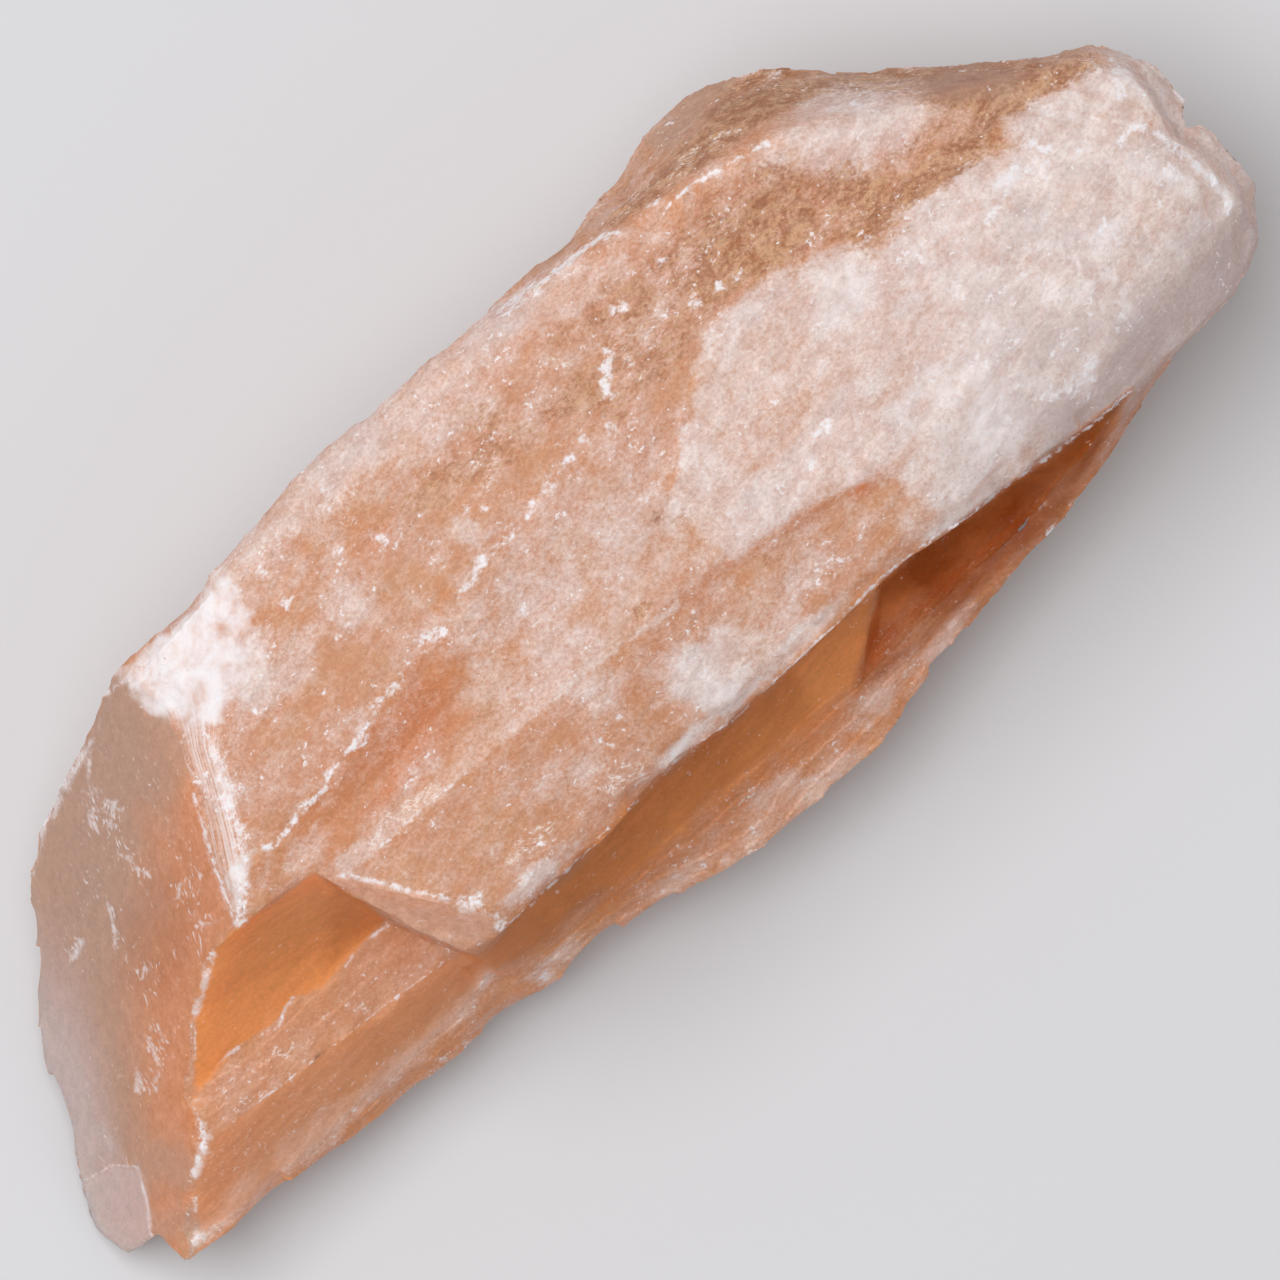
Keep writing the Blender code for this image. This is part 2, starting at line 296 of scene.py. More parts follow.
CREST_LINE = [
    (-25.5, 6.6), (-24, 6.7), (-20.5, 7.1), (-17, 7.8), (-15, 8), (-13.5, 8.5), (-10, 9.2), (-8.5, 9.6),
    (-6, 9.8), (-4, 10.1), (-2, 10.5), (0, 11.1), (3, 11.5), (5, 12), (8, 11.8), (9.5, 13), (10.5, 14.5),
]
BACK_RIDGE = [
    (5, 21.8), (8, 21.4), (10, 21.1), (13, 20.8), (15, 20.6), (17, 20.1), (20, 19.3), (22, 18.9),
    (23.5, 18.7), (27, 17.8),
]
STEP_EDGE = [(5, 1.3), (8, 0.8), (10, 0.3), (14, -0.5), (16, -0.9), (18, -1.5), (18.6, -2.2)]
PLATEAU_EDGE = [(13.5, 10), (11, 8.5), (10, 7.5), (8.5, 6.5), (7.8, 5), (8, 3), (8, 1.2)]
FRONT_OUTLINE = [
    (-45, -8.4), (-37, -9), (-30, -9.8), (-20, -10.8), (-12.5, -11.5), (-8, -12.2), (-5, -13), (-1, -13.9),
    (7.8, -13.8), (13, -12.7), (20, -11.3), (28, -10.4), (35, -8.4),
]
BACK_OUTLINE = [
    (-25, 20.8), (-17, 21.3), (-12.5, 22), (-6, 22.9), (5, 21.9), (17, 22.3), (23.5, 23.4), (27, 22.8),
    (30, 21.4), (35, 17.1), (42.3, 10.6),
]
END_OUTLINE = [(-45, 4), (-44, 6.5), (-40, 11.7), (-37, 15.3), (-32.5, 17.9), (-28.5, 19), (-25, 20.8)]
TIP_STEP = [(-47.8, -0.3), (-44.8, -1), (-43.7, -2.2), (-44.8, -4.2), (-46.2, -6.1)]

END_FACE = [(-24, 22), *BRUISE_LEFT, *reversed(RECESS_RIM), (-50, -12), (-52, 24)]
BRUISE_BAND = [*BRUISE_LEFT, *reversed(BRUISE_RIGHT)]
RECESS_WALL = [*RECESS_TOP, (-22.3, 0.5), *reversed(WALL_FOOT), *RECESS_RIM[6:]]
RECESS_LEDGE = [*WALL_FOOT, (-21.2, -2.8), *reversed(LEDGE_EDGE)]
RECESS_SLOPE = [*LEDGE_EDGE, (-19.2, -7), *reversed(LOWER_RIDGE), (-42.5, -6), (-41.2, -4.7)]
LIP_BEVEL = [*LIP_DROP, *reversed(BEVEL_LINE)]
UNDER_LIP = [(-20, -6), *LIP_EDGE[:11], *FRONT_CREASE, (4, -9.6), (-4, -9.3), (-12, -9), (-19.5, -8.2)]
FRONT_HOLLOW = [
    *reversed(FRONT_CREASE), (18, -6.6), (25, -7.5), (33, -8.1), (30, -9.4), (24, -10.4), (17, -10.7),
    (12.5, -10.4),
]
END_FACING = (-1.385, 0.526, 1)  # square to the cleaved end
print("faces drawn: 8, with", len(LIP_EDGE), "points along the lip")

# %% [markdown]
# ## Crust and cleavage
#
# The sugary crust heaves by a few tenths of a millimetre and ends in crystal corners, while
# a cleavage plane hardly leaves the flat. One mask, `polish`, says which is which all over
# the stone, and the height of the unevenness is scaled by it. The crust also sinks a little,
# to stay inside the block. Nothing moves near the floor, so the stone keeps its flat foot.

# %% Heave the crust
CLEAN_FACES = (
    # outline, border, raggedness, how clean
    (RECESS_WALL, 0.5, 0.15, 1), (RECESS_LEDGE, 0.5, 0.15, 0.5), (RECESS_SLOPE, 0.5, 0.15, 0.9),
    (LIP_BEVEL, 0.5, 0.15, 0.85), (UNDER_LIP, 0.8, 0.3, 0.6),
)
# Each of these is a height in millimetres.
SWELL = 0.24
LUMP = 0.09
CORNER = 0.035
GRIT = 0.02
SINK = 0.08
FACE_WAVE = 0.05
FLOOR_MARGIN = 1.2


def facing_along(facing, direction, spread):
    """1 where the surface faces along the direction, down to 0 as it turns away."""
    direction = np.array(direction) / np.linalg.norm(direction)
    return smooth((facing @ direction - 1.0 + spread) / (0.6 * spread))


def seen_above(facing):
    """1 where the surface is seen from above, down to 0 where it hangs over."""
    return smooth(4.0 * facing[:, 2] + 0.5)


def polish(points, facing):
    """1 on a clean cleavage plane, 0 on the frosted crust."""
    above = seen_above(facing)
    most = patch(points, END_FACE, 0.8, 0.3, 3) * facing_along(facing, END_FACING, 0.14)
    for i, (outline, border, ragged, clean) in enumerate(CLEAN_FACES):
        most = np.maximum(most, clean * patch(points, outline, border, ragged, 4 + i) * above)
    hidden = 0.75 * smooth(0.5 + 1.2 * drift(points, (16, 9, 9), 9)) * (1.0 - above)
    return np.maximum(most, hidden)


points = read_points(stone)
facing = read_facing(stone)
clear_of_floor = smooth(points[:, 2] / FLOOR_MARGIN)
crust = 1.0 - polish(points, facing)
heave = SWELL * drift(points, 9, 11) + LUMP * drift(points, 3, 12) - SINK
heave += CORNER * crystals(points, 1.7, 14) + GRIT * crystals(points, 0.8, 15)
heave = crust * heave + (1.0 - crust) * FACE_WAVE * drift(points, (14, 10, 10), 13)
points += (clear_of_floor * heave)[:, None] * facing
write_points(stone, points)
print("crust heaved by", np.round(np.percentile(heave, (1, 99)), 2), "mm")

# %% [markdown]
# ## Cleavage steps
#
# Where a crack jumps from one cleavage plane to the next it leaves a step, and because all
# the planes share their directions the steps run side by side along the stone. A saw-tooth
# across the stone makes them: the surface leans away slowly and drops back at once. Noise
# that is stretched along the stone keeps the steps long, but not straight.

# %% Terraces along the stone


def stroke(points, line, width, soft, ragged=0.0, seed=1):
    """1 on the line, 0 from `width` millimetres off it. `soft` is the share that fades."""
    distance = line_distance(points, line)[0]
    if ragged:
        close = distance < width + 1.5 * ragged
        distance[close] += ragged * drift(points[close], 2.0 * width, seed)
    return smooth((1.0 - distance / width) / soft)


def terraces(points, pitch, seed, lean=0):
    """Steps that run along the stone, a `pitch` apart, as a height from -0.5 to 0.5."""
    across = points[:, 1] + points[:, 2] * 0.6 + lean * points[:, 0]
    phase = across / pitch + 0.9 * drift(points, (16, 3.0 * pitch, 3.0 * pitch), seed)
    return phase - np.floor(phase) - 0.5


facing = read_facing(stone)
above = seen_above(facing)
STEPPED_FACES = (
    # outline, border, height, pitch, seed, lean
    (RECESS_LEDGE, 0.4, 0.1, 0.9, 21, 0.1),
    ([(-44, -8.5), (-19, -8.4), (-17, -12.5), (-46, -10.5)], 0.6, 0.1, 1.1, 22, 0),
    ([(-18, -8.8), (14, -9.4), (26, -10.6), (24, -15), (-14, -15)], 1, 0.14, 1.6, 23, 0),
)
steps = np.zeros(len(points))
for outline, border, height, pitch, seed, lean in STEPPED_FACES:
    share = patch(points, outline, border) * above
    steps += height * share * terraces(points, pitch, seed, lean)

# The hidden flanks have coarse steps with fine ones between, but few near the outline.
rim = np.maximum(stroke(points, END_OUTLINE, 2.6, 1), stroke(points, FRONT_OUTLINE[:3], 2.6, 1))
hidden = (1.0 - above) * (1.0 - 0.85 * rim)
steps += 0.55 * hidden * terraces(points, 4.2, 24) * smooth(0.6 + drift(points, 14, 25))
steps += 0.16 * hidden * terraces(points, 1.3, 26, 0.04) * smooth(0.4 + drift(points, 9, 27))
points += (clear_of_floor * steps)[:, None] * facing
print("terraces up to", round(float(np.ptp(steps)), 2), "mm high")

# %% [markdown]
# ## Single steps
#
# A few steps are big enough to be drawn one by one: the broken crest that runs up the top,
# the fine double step below it, the block split from the tip, and the rim of the pale
# plateau. `ledge` lowers the ground on one side of a line at once, and lets it come back
# gently further off. A drop below zero is a small wall instead.

# %% Ledges that are drawn


def ledge(points, line, drop, run, ragged, seed):
    """Lowers the ground on the right of the line by `drop`, which fades out over `run`."""
    distance, _, side = line_distance(points, line)
    gap = ragged * drift(points, 1.6, seed) - side * distance
    points[:, 2] -= drop * smooth(gap / 0.35) * np.exp(-np.maximum(gap, 0) / run) * above


LEDGES = (
    # line, drop, run, raggedness, seed
    (CREST_LINE, 0.16, 3, 0.45, 31),
    ([(-22, 3.7), (-15, 3.4), (-10, 2.8), (-5, 2)], 0.09, 2, 0.2, 32),
    ([(-20, 2.2), (-10, 2), (0, 1.5), (4, 0.9)], 0.09, 2, 0.2, 32),
    (WALL_FOOT, -0.15, 0.8, 0.25, 33),
    (LOWER_RIDGE, 0.25, 1.2, 0.25, 34),
    (TIP_STEP, 0.3, 2, 0.1, 35),
    (PLATEAU_EDGE, 0.16, 2.5, 0.3, 36),
)
for line, drop, run, ragged, seed in LEDGES:
    ledge(points, line, drop, run, ragged, seed)
write_points(stone, points)
print("ledges:", len(LEDGES))

# %% [markdown]
# ## Worn corners
#
# The corners of the high back and of the head are worn, not broken. A Smooth modifier rounds
# them. It works on a vertex group, so that only the points near these lines are moved.

# %% Round the worn corners
BACK_ROLL = [(27.4, 18.2), (28.4, 17.9), (32.4, 15.9), (35.9, 13.5), (38.5, 11.5), (42, 10), (44.6, 8.9)]
TIP_RIM = [(-46.5, -6.5), (-48, -5.6), (-48.5, -4), (-47.6, -0.6), (-45.6, 2), (-44.6, 4)]
HEAD_ROLL = [(27, -6.4), (30, -6), (36, -5.2), (42, -4.6), (45.6, -3.6)]
WORN_LINES = (
    # line, width, share that fades, how much it is smoothed
    (BACK_ROLL, 3.4, 1, 1), (HEAD_ROLL, 2, 1, 1), (TIP_RIM, 1, 0.6, 0.25), (STEP_EDGE, 0.9, 0.6, 0.25),
    ([(-20.9, -8), (-20.2, -7.2), (-20, -6.4)], 2, 1, 1),
    ([(-40, -8.8), (-37, -9), (-35, -9.2)], 1.6, 1, 0.6),
    ([(-44.6, 4.8), (-43.8, 6.5), (-43.2, 7.4)], 1.2, 1, 0.5),
    ([(-40.4, 11.2), (-38.6, 13.2)], 1.2, 1, 0.5),
)
WEAR_ROUNDS = 120
worn = np.max([share * stroke(points, line, width, soft) for line, width, soft, share in WORN_LINES], axis=0)
worn *= np.where(line_distance(points, BACK_ROLL)[0] < 4, above, 1)
group = stone.vertex_groups.new(name="worn")
for share in (0.25, 0.5, 0.75, 1):
    chosen = np.flatnonzero((worn > share - 0.25) & (worn <= share))
    group.add(chosen.tolist(), share, "REPLACE")
apply_modifier(stone, "SMOOTH", factor=0.5, iterations=WEAR_ROUNDS, vertex_group="worn")
print("worn points:", int((worn > 0).sum()))

# %% [markdown]
# ## Knocks
#
# An edge of calcite never stays whole. Flat flakes split off it, and each leaves a small
# bright facet. `shave` does that: it picks a plane just under the edge and brings back
# everything that stands above it. The flakes lie along the drawn edges, with seeded random
# gaps, sizes and tilts.

# %% Shave flakes off the edges
HEAD_OUTLINE = [(45.2, 9.3), (47, 6.2), (46.6, 3), (46.3, 1.5), (47.4, -2), (46.7, -4.8), (44.2, -6.8)]
HEAD_TOP = [(44.8, 8.4), (45.4, 5), (45.4, 1), (45.6, -2), (44.8, -4.6)]
FLAKE_LEAN = 0.12  # how far a flake leans from the edge's own slope


def highest_near(points, x, y, reach=0.6):
    near = np.hypot(points[:, 0] - x, points[:, 1] - y) < reach
    if not near.any():
        return None
    found = np.flatnonzero(near)
    return points[found[np.argmax(points[found, 2])]].copy()


def shave(points, facing, place, tilt, depth, reach):
    """Takes off what stands above a flat scoop, `depth` under the place and `reach` wide."""
    close = np.flatnonzero(np.abs(points - place).max(axis=1) < 1.5 * reach)
    offset = points[close] - place
    outward = facing[close[np.linalg.norm(offset, axis=1) < reach]].mean(axis=0)
    outward = outward / np.linalg.norm(outward) + tilt
    outward /= np.linalg.norm(outward)
    height = offset @ outward
    spread = np.linalg.norm(offset - height[:, None] * outward, axis=1) / reach
    over = np.maximum(height + depth * (1.0 - spread**4), 0)
    points[close] -= over[:, None] * outward


def chip_edge(points, facing, line, gap, depth, reach, seed):
    """Shaves flakes off an edge, about a `gap` apart, each up to `depth` deep."""
    rng = np.random.default_rng(seed)
    lengths = [math.dist(a, b) for a, b in zip(line, line[1:])]
    marks = np.concatenate(([0], np.cumsum(lengths)))
    spot = rng.uniform(0, gap)
    count = 0
    while spot < marks[-1]:
        x = np.interp(spot, marks, [p[0] for p in line])
        y = np.interp(spot, marks, [p[1] for p in line])
        edge = highest_near(points, x, y)
        lean = rng.normal(0, FLAKE_LEAN, 3)
        taken = depth * rng.uniform(0.25, 1)
        spread = rng.uniform(*reach)
        spot += gap * rng.uniform(0.3, 1.7)
        if edge is None or edge[2] < FLOOR_MARGIN:
            continue
        shave(points, facing, edge, lean, taken, spread)
        count += 1
    return count


CHIPPED_EDGES = (
    # line, gap, depth, reach
    (LIP_EDGE, 1.3, 0.2, (0.5, 1.5)), (LIP_DROP[:6], 1.4, 0.14, (0.5, 1.2)),
    (BEVEL_LINE, 1, 0.14, (0.5, 1)), (CREST_LINE, 0.9, 0.22, (0.4, 1.2)),
    (BACK_RIDGE, 0.9, 0.3, (0.5, 1.4)), (STEP_EDGE, 1.2, 0.08, (0.4, 1)),
    (RECESS_TOP, 1.2, 0.18, (0.4, 1.2)), (RECESS_RIM, 1.1, 0.3, (0.5, 1.5)),
    (LEDGE_EDGE, 1.3, 0.16, (0.5, 1.3)), (LOWER_RIDGE, 1.1, 0.1, (0.4, 1)),
    (FRONT_CREASE, 1.5, 0.12, (0.4, 1)), (FRONT_OUTLINE, 2.2, 0.11, (0.5, 1.8)),
    (BACK_OUTLINE, 1.8, 0.18, (0.5, 2)), (END_OUTLINE, 2.4, 0.07, (0.6, 1.8)),
    (HEAD_OUTLINE, 1, 0.4, (0.6, 1.8)), (HEAD_TOP, 1.1, 0.4, (0.6, 1.8)),
    (BRUISE_RIGHT, 1, 0.2, (0.4, 1.2)),
)
points = read_points(stone)
facing = read_facing(stone)
flakes = [
    chip_edge(points, facing, line, gap, depth, reach, 40 + i)
    for i, (line, gap, depth, reach) in enumerate(CHIPPED_EDGES)
]
print("flakes shaved off:", sum(flakes))

# %% [markdown]
# ## Pits
#
# Small knocks have also lifted single crystals out of the open faces. The larger of these
# pits are placed one by one, and noise keeps their rims from being round.

# %% Bite pits into the faces
PIT_DEPTH = 0.25  # as a share of the pit's radius
# Each pit is its middle and its radius.
END_PITS = [
    (-29.5, 18, 0.5), (-28.8, 17.5, 0.4), (-31, 15, 0.5), (-30, 15, 0.7), (-29.4, 15, 0.4),
    (-31, 12.5, 0.4), (-31.2, 11, 0.5), (-37.3, 10.2, 0.7), (-35.2, 9, 0.4), (-34.5, 10.8, 0.5),
    (-39.3, 9, 0.5), (-32.5, 10, 0.4), (-31.5, 9, 0.4), (-30, 8.5, 0.5), (-35.3, 6.5, 0.4), (-34.2, 5, 0.4),
    (-39.2, 5.7, 0.4), (-37.8, 2.7, 0.5), (-37, 3, 0.4), (-38, 1.8, 0.5), (-40.1, 1.6, 0.6),
    (-39.4, 0.7, 0.5), (-38.2, 0.5, 0.4),
]
TOP_PITS = [
    (-6.5, 16, 0.8), (-13.5, 17, 0.7), (-13.2, 19.5, 0.7), (-19.2, 13.4, 0.4), (-7.2, 18, 0.5),
    (-9, 17, 0.6), (-1, 13.5, 0.6), (2.8, 16, 0.6), (13.3, 16.6, 0.7), (11.5, 13.8, 0.5), (16.4, 6.1, 0.6),
    (17.8, 2.8, 0.6), (15.6, 1.6, 0.5), (17, 16.9, 0.6), (17.8, 13.6, 0.6), (27.2, 9.5, 0.4),
    (32.5, 16.1, 0.5), (42.5, 8.7, 0.4), (40.8, 7.7, 0.4), (37.5, 6.1, 0.8), (43.7, 3.6, 0.7),
    (31, -5.6, 1), (36.8, 1.4, 0.8), (44, -0.7, 0.7), (2, 2.2, 0.6),
]


def bite(points, x, y, radius, depth, seed):
    place = highest_near(points, x, y, 0.4)
    if place is None:
        return
    near = np.flatnonzero(np.hypot(points[:, 0] - x, points[:, 1] - y) < 1.6 * radius)
    near = near[np.abs(points[near, 2] - place[2]) < 2]
    gap = np.hypot(points[near, 0] - x, points[near, 1] - y) / radius
    gap = gap + 0.45 * drift(points[near], 0.8 * radius, seed)
    points[near, 2] -= depth * np.sqrt(np.clip(1.0 - gap, 0, 1))


for i, (x, y, radius) in enumerate((*END_PITS, *TOP_PITS)):
    bite(points, x, y, radius, PIT_DEPTH * radius, 60 + i)
write_points(stone, points)
print("pits bitten:", len(END_PITS) + len(TOP_PITS))

# %% [markdown]
# ## The bruise
#
# A blow on the top corner crushed the calcite along the edge of the cleaved end. Crushed
# calcite is a felt of white slivers that all lie down the slope of the bruise. Noise that
# is long one way and thin the other gives their relief.

# %% Slivers along the bruise
BRUISE_RUN = np.array((-0.57, -0.82))  # the way down the bruise on the plan
SLIVER_RELIEF = 0.16  # millimetres


def along_bruise(points):
    """The points turned so that x runs across the bruise and y down it."""
    run = points[:, :2] @ BRUISE_RUN
    across = points[:, :2] @ (BRUISE_RUN[1], -BRUISE_RUN[0])
    return np.column_stack((across, run, points[:, 2]))


facing = read_facing(stone)
above = seen_above(facing)
bruised = patch(points, BRUISE_BAND, 0.8, 0.3, 71) * above
laid_out = along_bruise(points)
slivers = drift(laid_out, (0.5, 6, 3), 72) + 0.5 * drift(laid_out, (0.9, 9, 3), 73)
points += (SLIVER_RELIEF * bruised * slivers)[:, None] * facing
write_points(stone, points)
print("bruised points:", int((bruised > 0.5).sum()))

# %% [markdown]
# ## Settling the mesh
#
# The finished skin has to stay inside the block's box, and it has to keep its flat foot.
# The skin is finer than it needs to be on the flat faces, so a Decimate modifier brings it
# under the limit for one piece. It takes the triangles from where there is least to lose.

# %% Settle and thin the skin
PIECE_LIMIT = 196_000  # triangles
BOX_GAP = 0.001  # millimetres
SHARP_FROM = math.radians(40)  # an edge that bends more than this is shaded sharp
low = np.array(cad_low) / MM - MARK
high = np.array(cad_high) / MM - MARK
points = read_points(stone)
write_points(stone, np.clip(points, low + BOX_GAP, high - BOX_GAP))
triangles = sum(len(face.vertices) - 2 for face in stone.data.polygons)
apply_modifier(stone, "DECIMATE", ratio=PIECE_LIMIT / triangles, use_collapse_triangulate=True)
bpy.ops.object.shade_smooth_by_angle(angle=SHARP_FROM)
print("thinned from", triangles, "to", len(stone.data.polygons), "triangles")

# %% [markdown]
# ## Coats of colour
#
# The colour of calcite is a mixture. The clear stone is a saturated orange, the frosted
# crust over it is pinkish cream, iron has stained some hollows brown, the cleaved end has a
# greyish skin, and whatever was struck is white. Each of these is kept as a coat: a number
# from 0 to 1 at every point of the mesh, brushed on in patches and blobs drawn on the plan.
# The material mixes its colours by these coats later.

# %% Brushes
points = read_points(stone)
facing = read_facing(stone)
above = seen_above(facing)
bare = np.zeros(len(points))


def blob(points, centre, size, turn, ragged, seed):
    """1 in the middle of an oval `size` = (half length, half width), fading to 0 at its rim."""
    angle = math.radians(turn)
    offset = points[:, :2] - centre
    run = offset @ (math.cos(angle), math.sin(angle)) / size[0]
    across = offset @ (-math.sin(angle), math.cos(angle)) / size[1]
    reach = np.hypot(run, across)
    close = reach < 1.0 + 1.5 * ragged
    reach[close] += ragged * drift(points[close], 0.6 * max(size), seed)
    return smooth(1.6 * (1.0 - reach))


def brushed(coat, mask, value):
    """The coat after `value` is brushed on where the mask is 1."""
    return coat + mask * above * (value - coat)


def brush_patches(coat, patches, seed):
    """Each patch is its outline, border, raggedness and value."""
    for i, (outline, edge, ragged, value) in enumerate(patches):
        coat = brushed(coat, patch(points, outline, edge, ragged, seed + i), value)
    return coat


def brush_blobs(coat, blobs, seed):
    """Each blob is its x, y, half length, half width, turn and value."""
    for i, (x, y, long, wide, turn, value) in enumerate(blobs):
        coat = brushed(coat, blob(points, (x, y), (long, wide), turn, 0.4, seed + i), value)
    return coat


def keep_coat(name, coat, most=1):
    """Stores the coat on the mesh, where the material can read it."""
    coat = np.clip(coat, 0, most)
    layer = stone.data.attributes.new(name, "FLOAT", "POINT")
    layer.data.foreach_set("value", coat.astype(np.float32))
    print(f"{name}: mean {coat.mean():.2f}")


# %% [markdown]
# ## The pale coat
#
# Cream is where the crust is thick: on the plateau and the head, along the high back, and
# in a strip over the lip. Elsewhere the crust is thin, and the orange comes through. It is
# thinnest below the crest, in a hollow with a soft lower border and a sharp upper one. Two
# outlines multiplied give that: one is soft all round and the other stops at the crest.

# %% Cream crust
BACK_CREAM = [
    (-17.5, 18.6), (-14, 18.8), (-11, 20.3), (-9.5, 17.5), (-6, 18.6), (-3, 18), (0, 18.2), (3, 17.8),
    (5, 19.4), (9, 18.8), (14, 19.4), (14, 23), (-6, 24.5), (-18, 23),
]
TOP_FIELD = [(-24, 6.4), (-8, 9.6), (4, 11.5), (8.5, 10), (8, 1.3), (-5, 1.8), (-22, 3.4)]
BELOW_CREST = [*CREST_LINE[:11], (4, 8), (2, 2), (-22, 3.4), (-26, 5.4)]
CREST_FOOT = [
    (-24, 5.6), (-22, 8.6), (-15, 9.4), (-9, 11), (-7.8, 7.4), (-10.4, 4), (-15, 3.2), (-21.4, 3.4),
]
STEP_BAND = [
    (-22.2, 3.6), (-15, 3.4), (-10, 2.8), (-5, 2.1), (4, 1.1), (4, 0.6), (0, 1.3), (-10, 2), (-20, 2.2),
    (-21.8, 2.4),
]
LIP_TIER = [(-22.2, 2.3), (5, 1.2), (14, -0.6), (18.6, -2.3), (19, -6.6), (-17.2, -6.6)]
PLATEAU = [
    *PLATEAU_EDGE, *STEP_EDGE[1:], (20, -6.9), (28, -8), (42, -8.2), (50, -5), (50, 8), (45.3, 7.6),
    (43, 8.2), (40, 8.7), (35, 8.4), (31, 9), (28, 8.6), (25, 10.6), (22, 11.8), (18.5, 12), (16, 12),
    (14, 10.6),
]
HEAD_CREAM = [(19.5, -6.8), (19, -2), (24, 0.5), (28, 5), (34, 8.2), (50, 8), (50, -5), (30, -8.2)]
BACK_SLOPE = [
    (25, 17.6), (27, 15.4), (30, 12.8), (35, 11.4), (37.6, 12.2), (36.4, 15.2), (33, 18.6), (30, 18.6),
]
BACK_FLANK = [(5, 22), (12, 21.2), (18, 20.9), (25, 21.4), (26.5, 22.4), (24, 24.5), (10, 23)]
PALE_PATCHES = (
    # outline, border, raggedness, how pale
    (BACK_CREAM, 2, 1.6, 0.46), (TOP_FIELD, 2, 1.4, 0.38), (LIP_TIER, 0.8, 0.4, 0.13),
    (STEP_BAND, 0.16, 0.08, 0.44), (PLATEAU, 0.6, 0.9, 0.58), (HEAD_CREAM, 5, 2, 0.76),
    (BACK_SLOPE, 2.2, 1.2, 0.56), (BACK_FLANK, 0.8, 0.4, 0.16), (END_FACE, 0.6, 0.2, 0.06),
    (RECESS_WALL, 0.3, 0.1, 0), (RECESS_LEDGE, 0.3, 0.15, 0.07), (RECESS_SLOPE, 0.4, 0.15, 0.02),
    (LIP_BEVEL, 0.3, 0.1, 0.25), (UNDER_LIP, 0.4, 0.15, 0), (FRONT_HOLLOW, 0.6, 0.3, 0.02),
)
PALE_BLOBS = (
    # x, y, half length, half width, turn, how pale
    (-5.5, 20.8, 4.5, 2.2, 0, 0.54), (7, 21.2, 5.5, 1, -6, 0.46), (-15, 14.6, 6, 0.9, 4, 0.38),
    (-10.5, 14.2, 1.8, 2.4, 10, 0.44), (-2.4, 12.8, 1.1, 1.7, 0, 0.6), (-13, 11.4, 7, 1.8, 10, 0.04),
    (-16.2, 17.6, 1.6, 1.2, 20, 0.08), (-6.8, 16.6, 1.6, 1.8, 0, 0.06), (-4.7, 13.5, 1.2, 3.6, 10, 0.14),
    (-22.6, 5.2, 2.4, 1.2, 0, 0.44), (-19.5, 8.8, 3.5, 1.2, 10, 0.06), (-6, 4.6, 3.5, 2.4, 10, 0.33),
    (1, 4.5, 4, 3.2, 0, 0.35), (4.5, 7, 3.2, 1.8, 10, 0.44), (2.5, 10.2, 5, 1.4, 10, 0.22),
    (4, -3.4, 4.6, 2.8, -20, 0.6), (1.8, -3.4, 2.3, 3.2, -12, 0.78), (2.6, -5.2, 2.4, 1.2, 0, 0.84),
    (-1.5, -5.7, 3, 0.9, 0, 0.72), (-13.6, -5.5, 3.2, 0.9, 0, 0.6), (-3.5, 0.2, 2.2, 1.6, 0, 0.4),
    (9, -2.6, 4.6, 2, -8, 0.38), (8, -5.7, 6, 0.9, 0, 0.72), (20.5, -6.7, 4.6, 0.7, -5, 0.85),
    (16.2, -2.6, 3, 1.6, -12, 0.26), (13, 18.6, 4, 1.2, -5, 0.38), (14, 15, 3, 1, -5, 0.3),
    (17.5, 4.8, 1.6, 0.7, 30, 0.4), (14.5, 5.2, 4.5, 2.6, 0, 0.46), (24, 8.2, 3, 2.2, 0, 0.88),
    (25, -3, 4, 2.6, 0, 1), (23, 0.6, 3, 0.7, 5, 0.78), (1, -13, 7, 1.3, -3, 0.6),
    (9, -11.6, 2.4, 1.2, 20, 0.66), (15, -11.6, 3.6, 0.8, 8, 0.7), (-16, -10.2, 3, 0.8, -4, 0.72),
    (-7, -11.6, 3.5, 0.8, -10, 0.4), (-40, -7.4, 3.4, 0.9, 0, 0.52), (-34, -7.6, 5, 0.8, 0, 0.42),
    (-8, -2, 3, 1.8, 0, 0.32), (-18, 15.4, 3.6, 2.6, 45, 0.62), (0.5, -11.4, 2.6, 1.2, 0, 0.55),
    (12.5, -10.6, 3.5, 1, 10, 0.14), (44.6, 1.5, 1.8, 4.2, 0, 0.6), (31.5, 15.2, 4.6, 1.6, -34, 0.66),
)
hidden_pale = 0.28 + 0.30 * drift(points, (12, 8, 8), 101)
pale = above * (0.16 + 0.10 * drift(points, 5, 102)) + (1.0 - above) * hidden_pale
crest_foot = patch(points, CREST_FOOT, 2.6, 1.2, 108) * patch(points, BELOW_CREST, 0.5, 0.3, 109)
pale = brush_patches(pale, PALE_PATCHES, 110)
pale = brushed(pale, crest_foot, 0.08)
pale = brush_blobs(pale, PALE_BLOBS, 130)
pale = brushed(pale, stroke(points, LOWER_RIDGE, 1, 0.9, 0.4, 180), 0.5)
keep_coat("pale", pale)

# %% [markdown]
# ## Clear orange
#
# Where there is no crust the stone shows its own orange: on the walls of the recess, in the
# hollow below the crest, under the lip, and on the cleaved end along the recess. On the end
# it fades with the distance from the rim, so a curve draws it and not an outline.

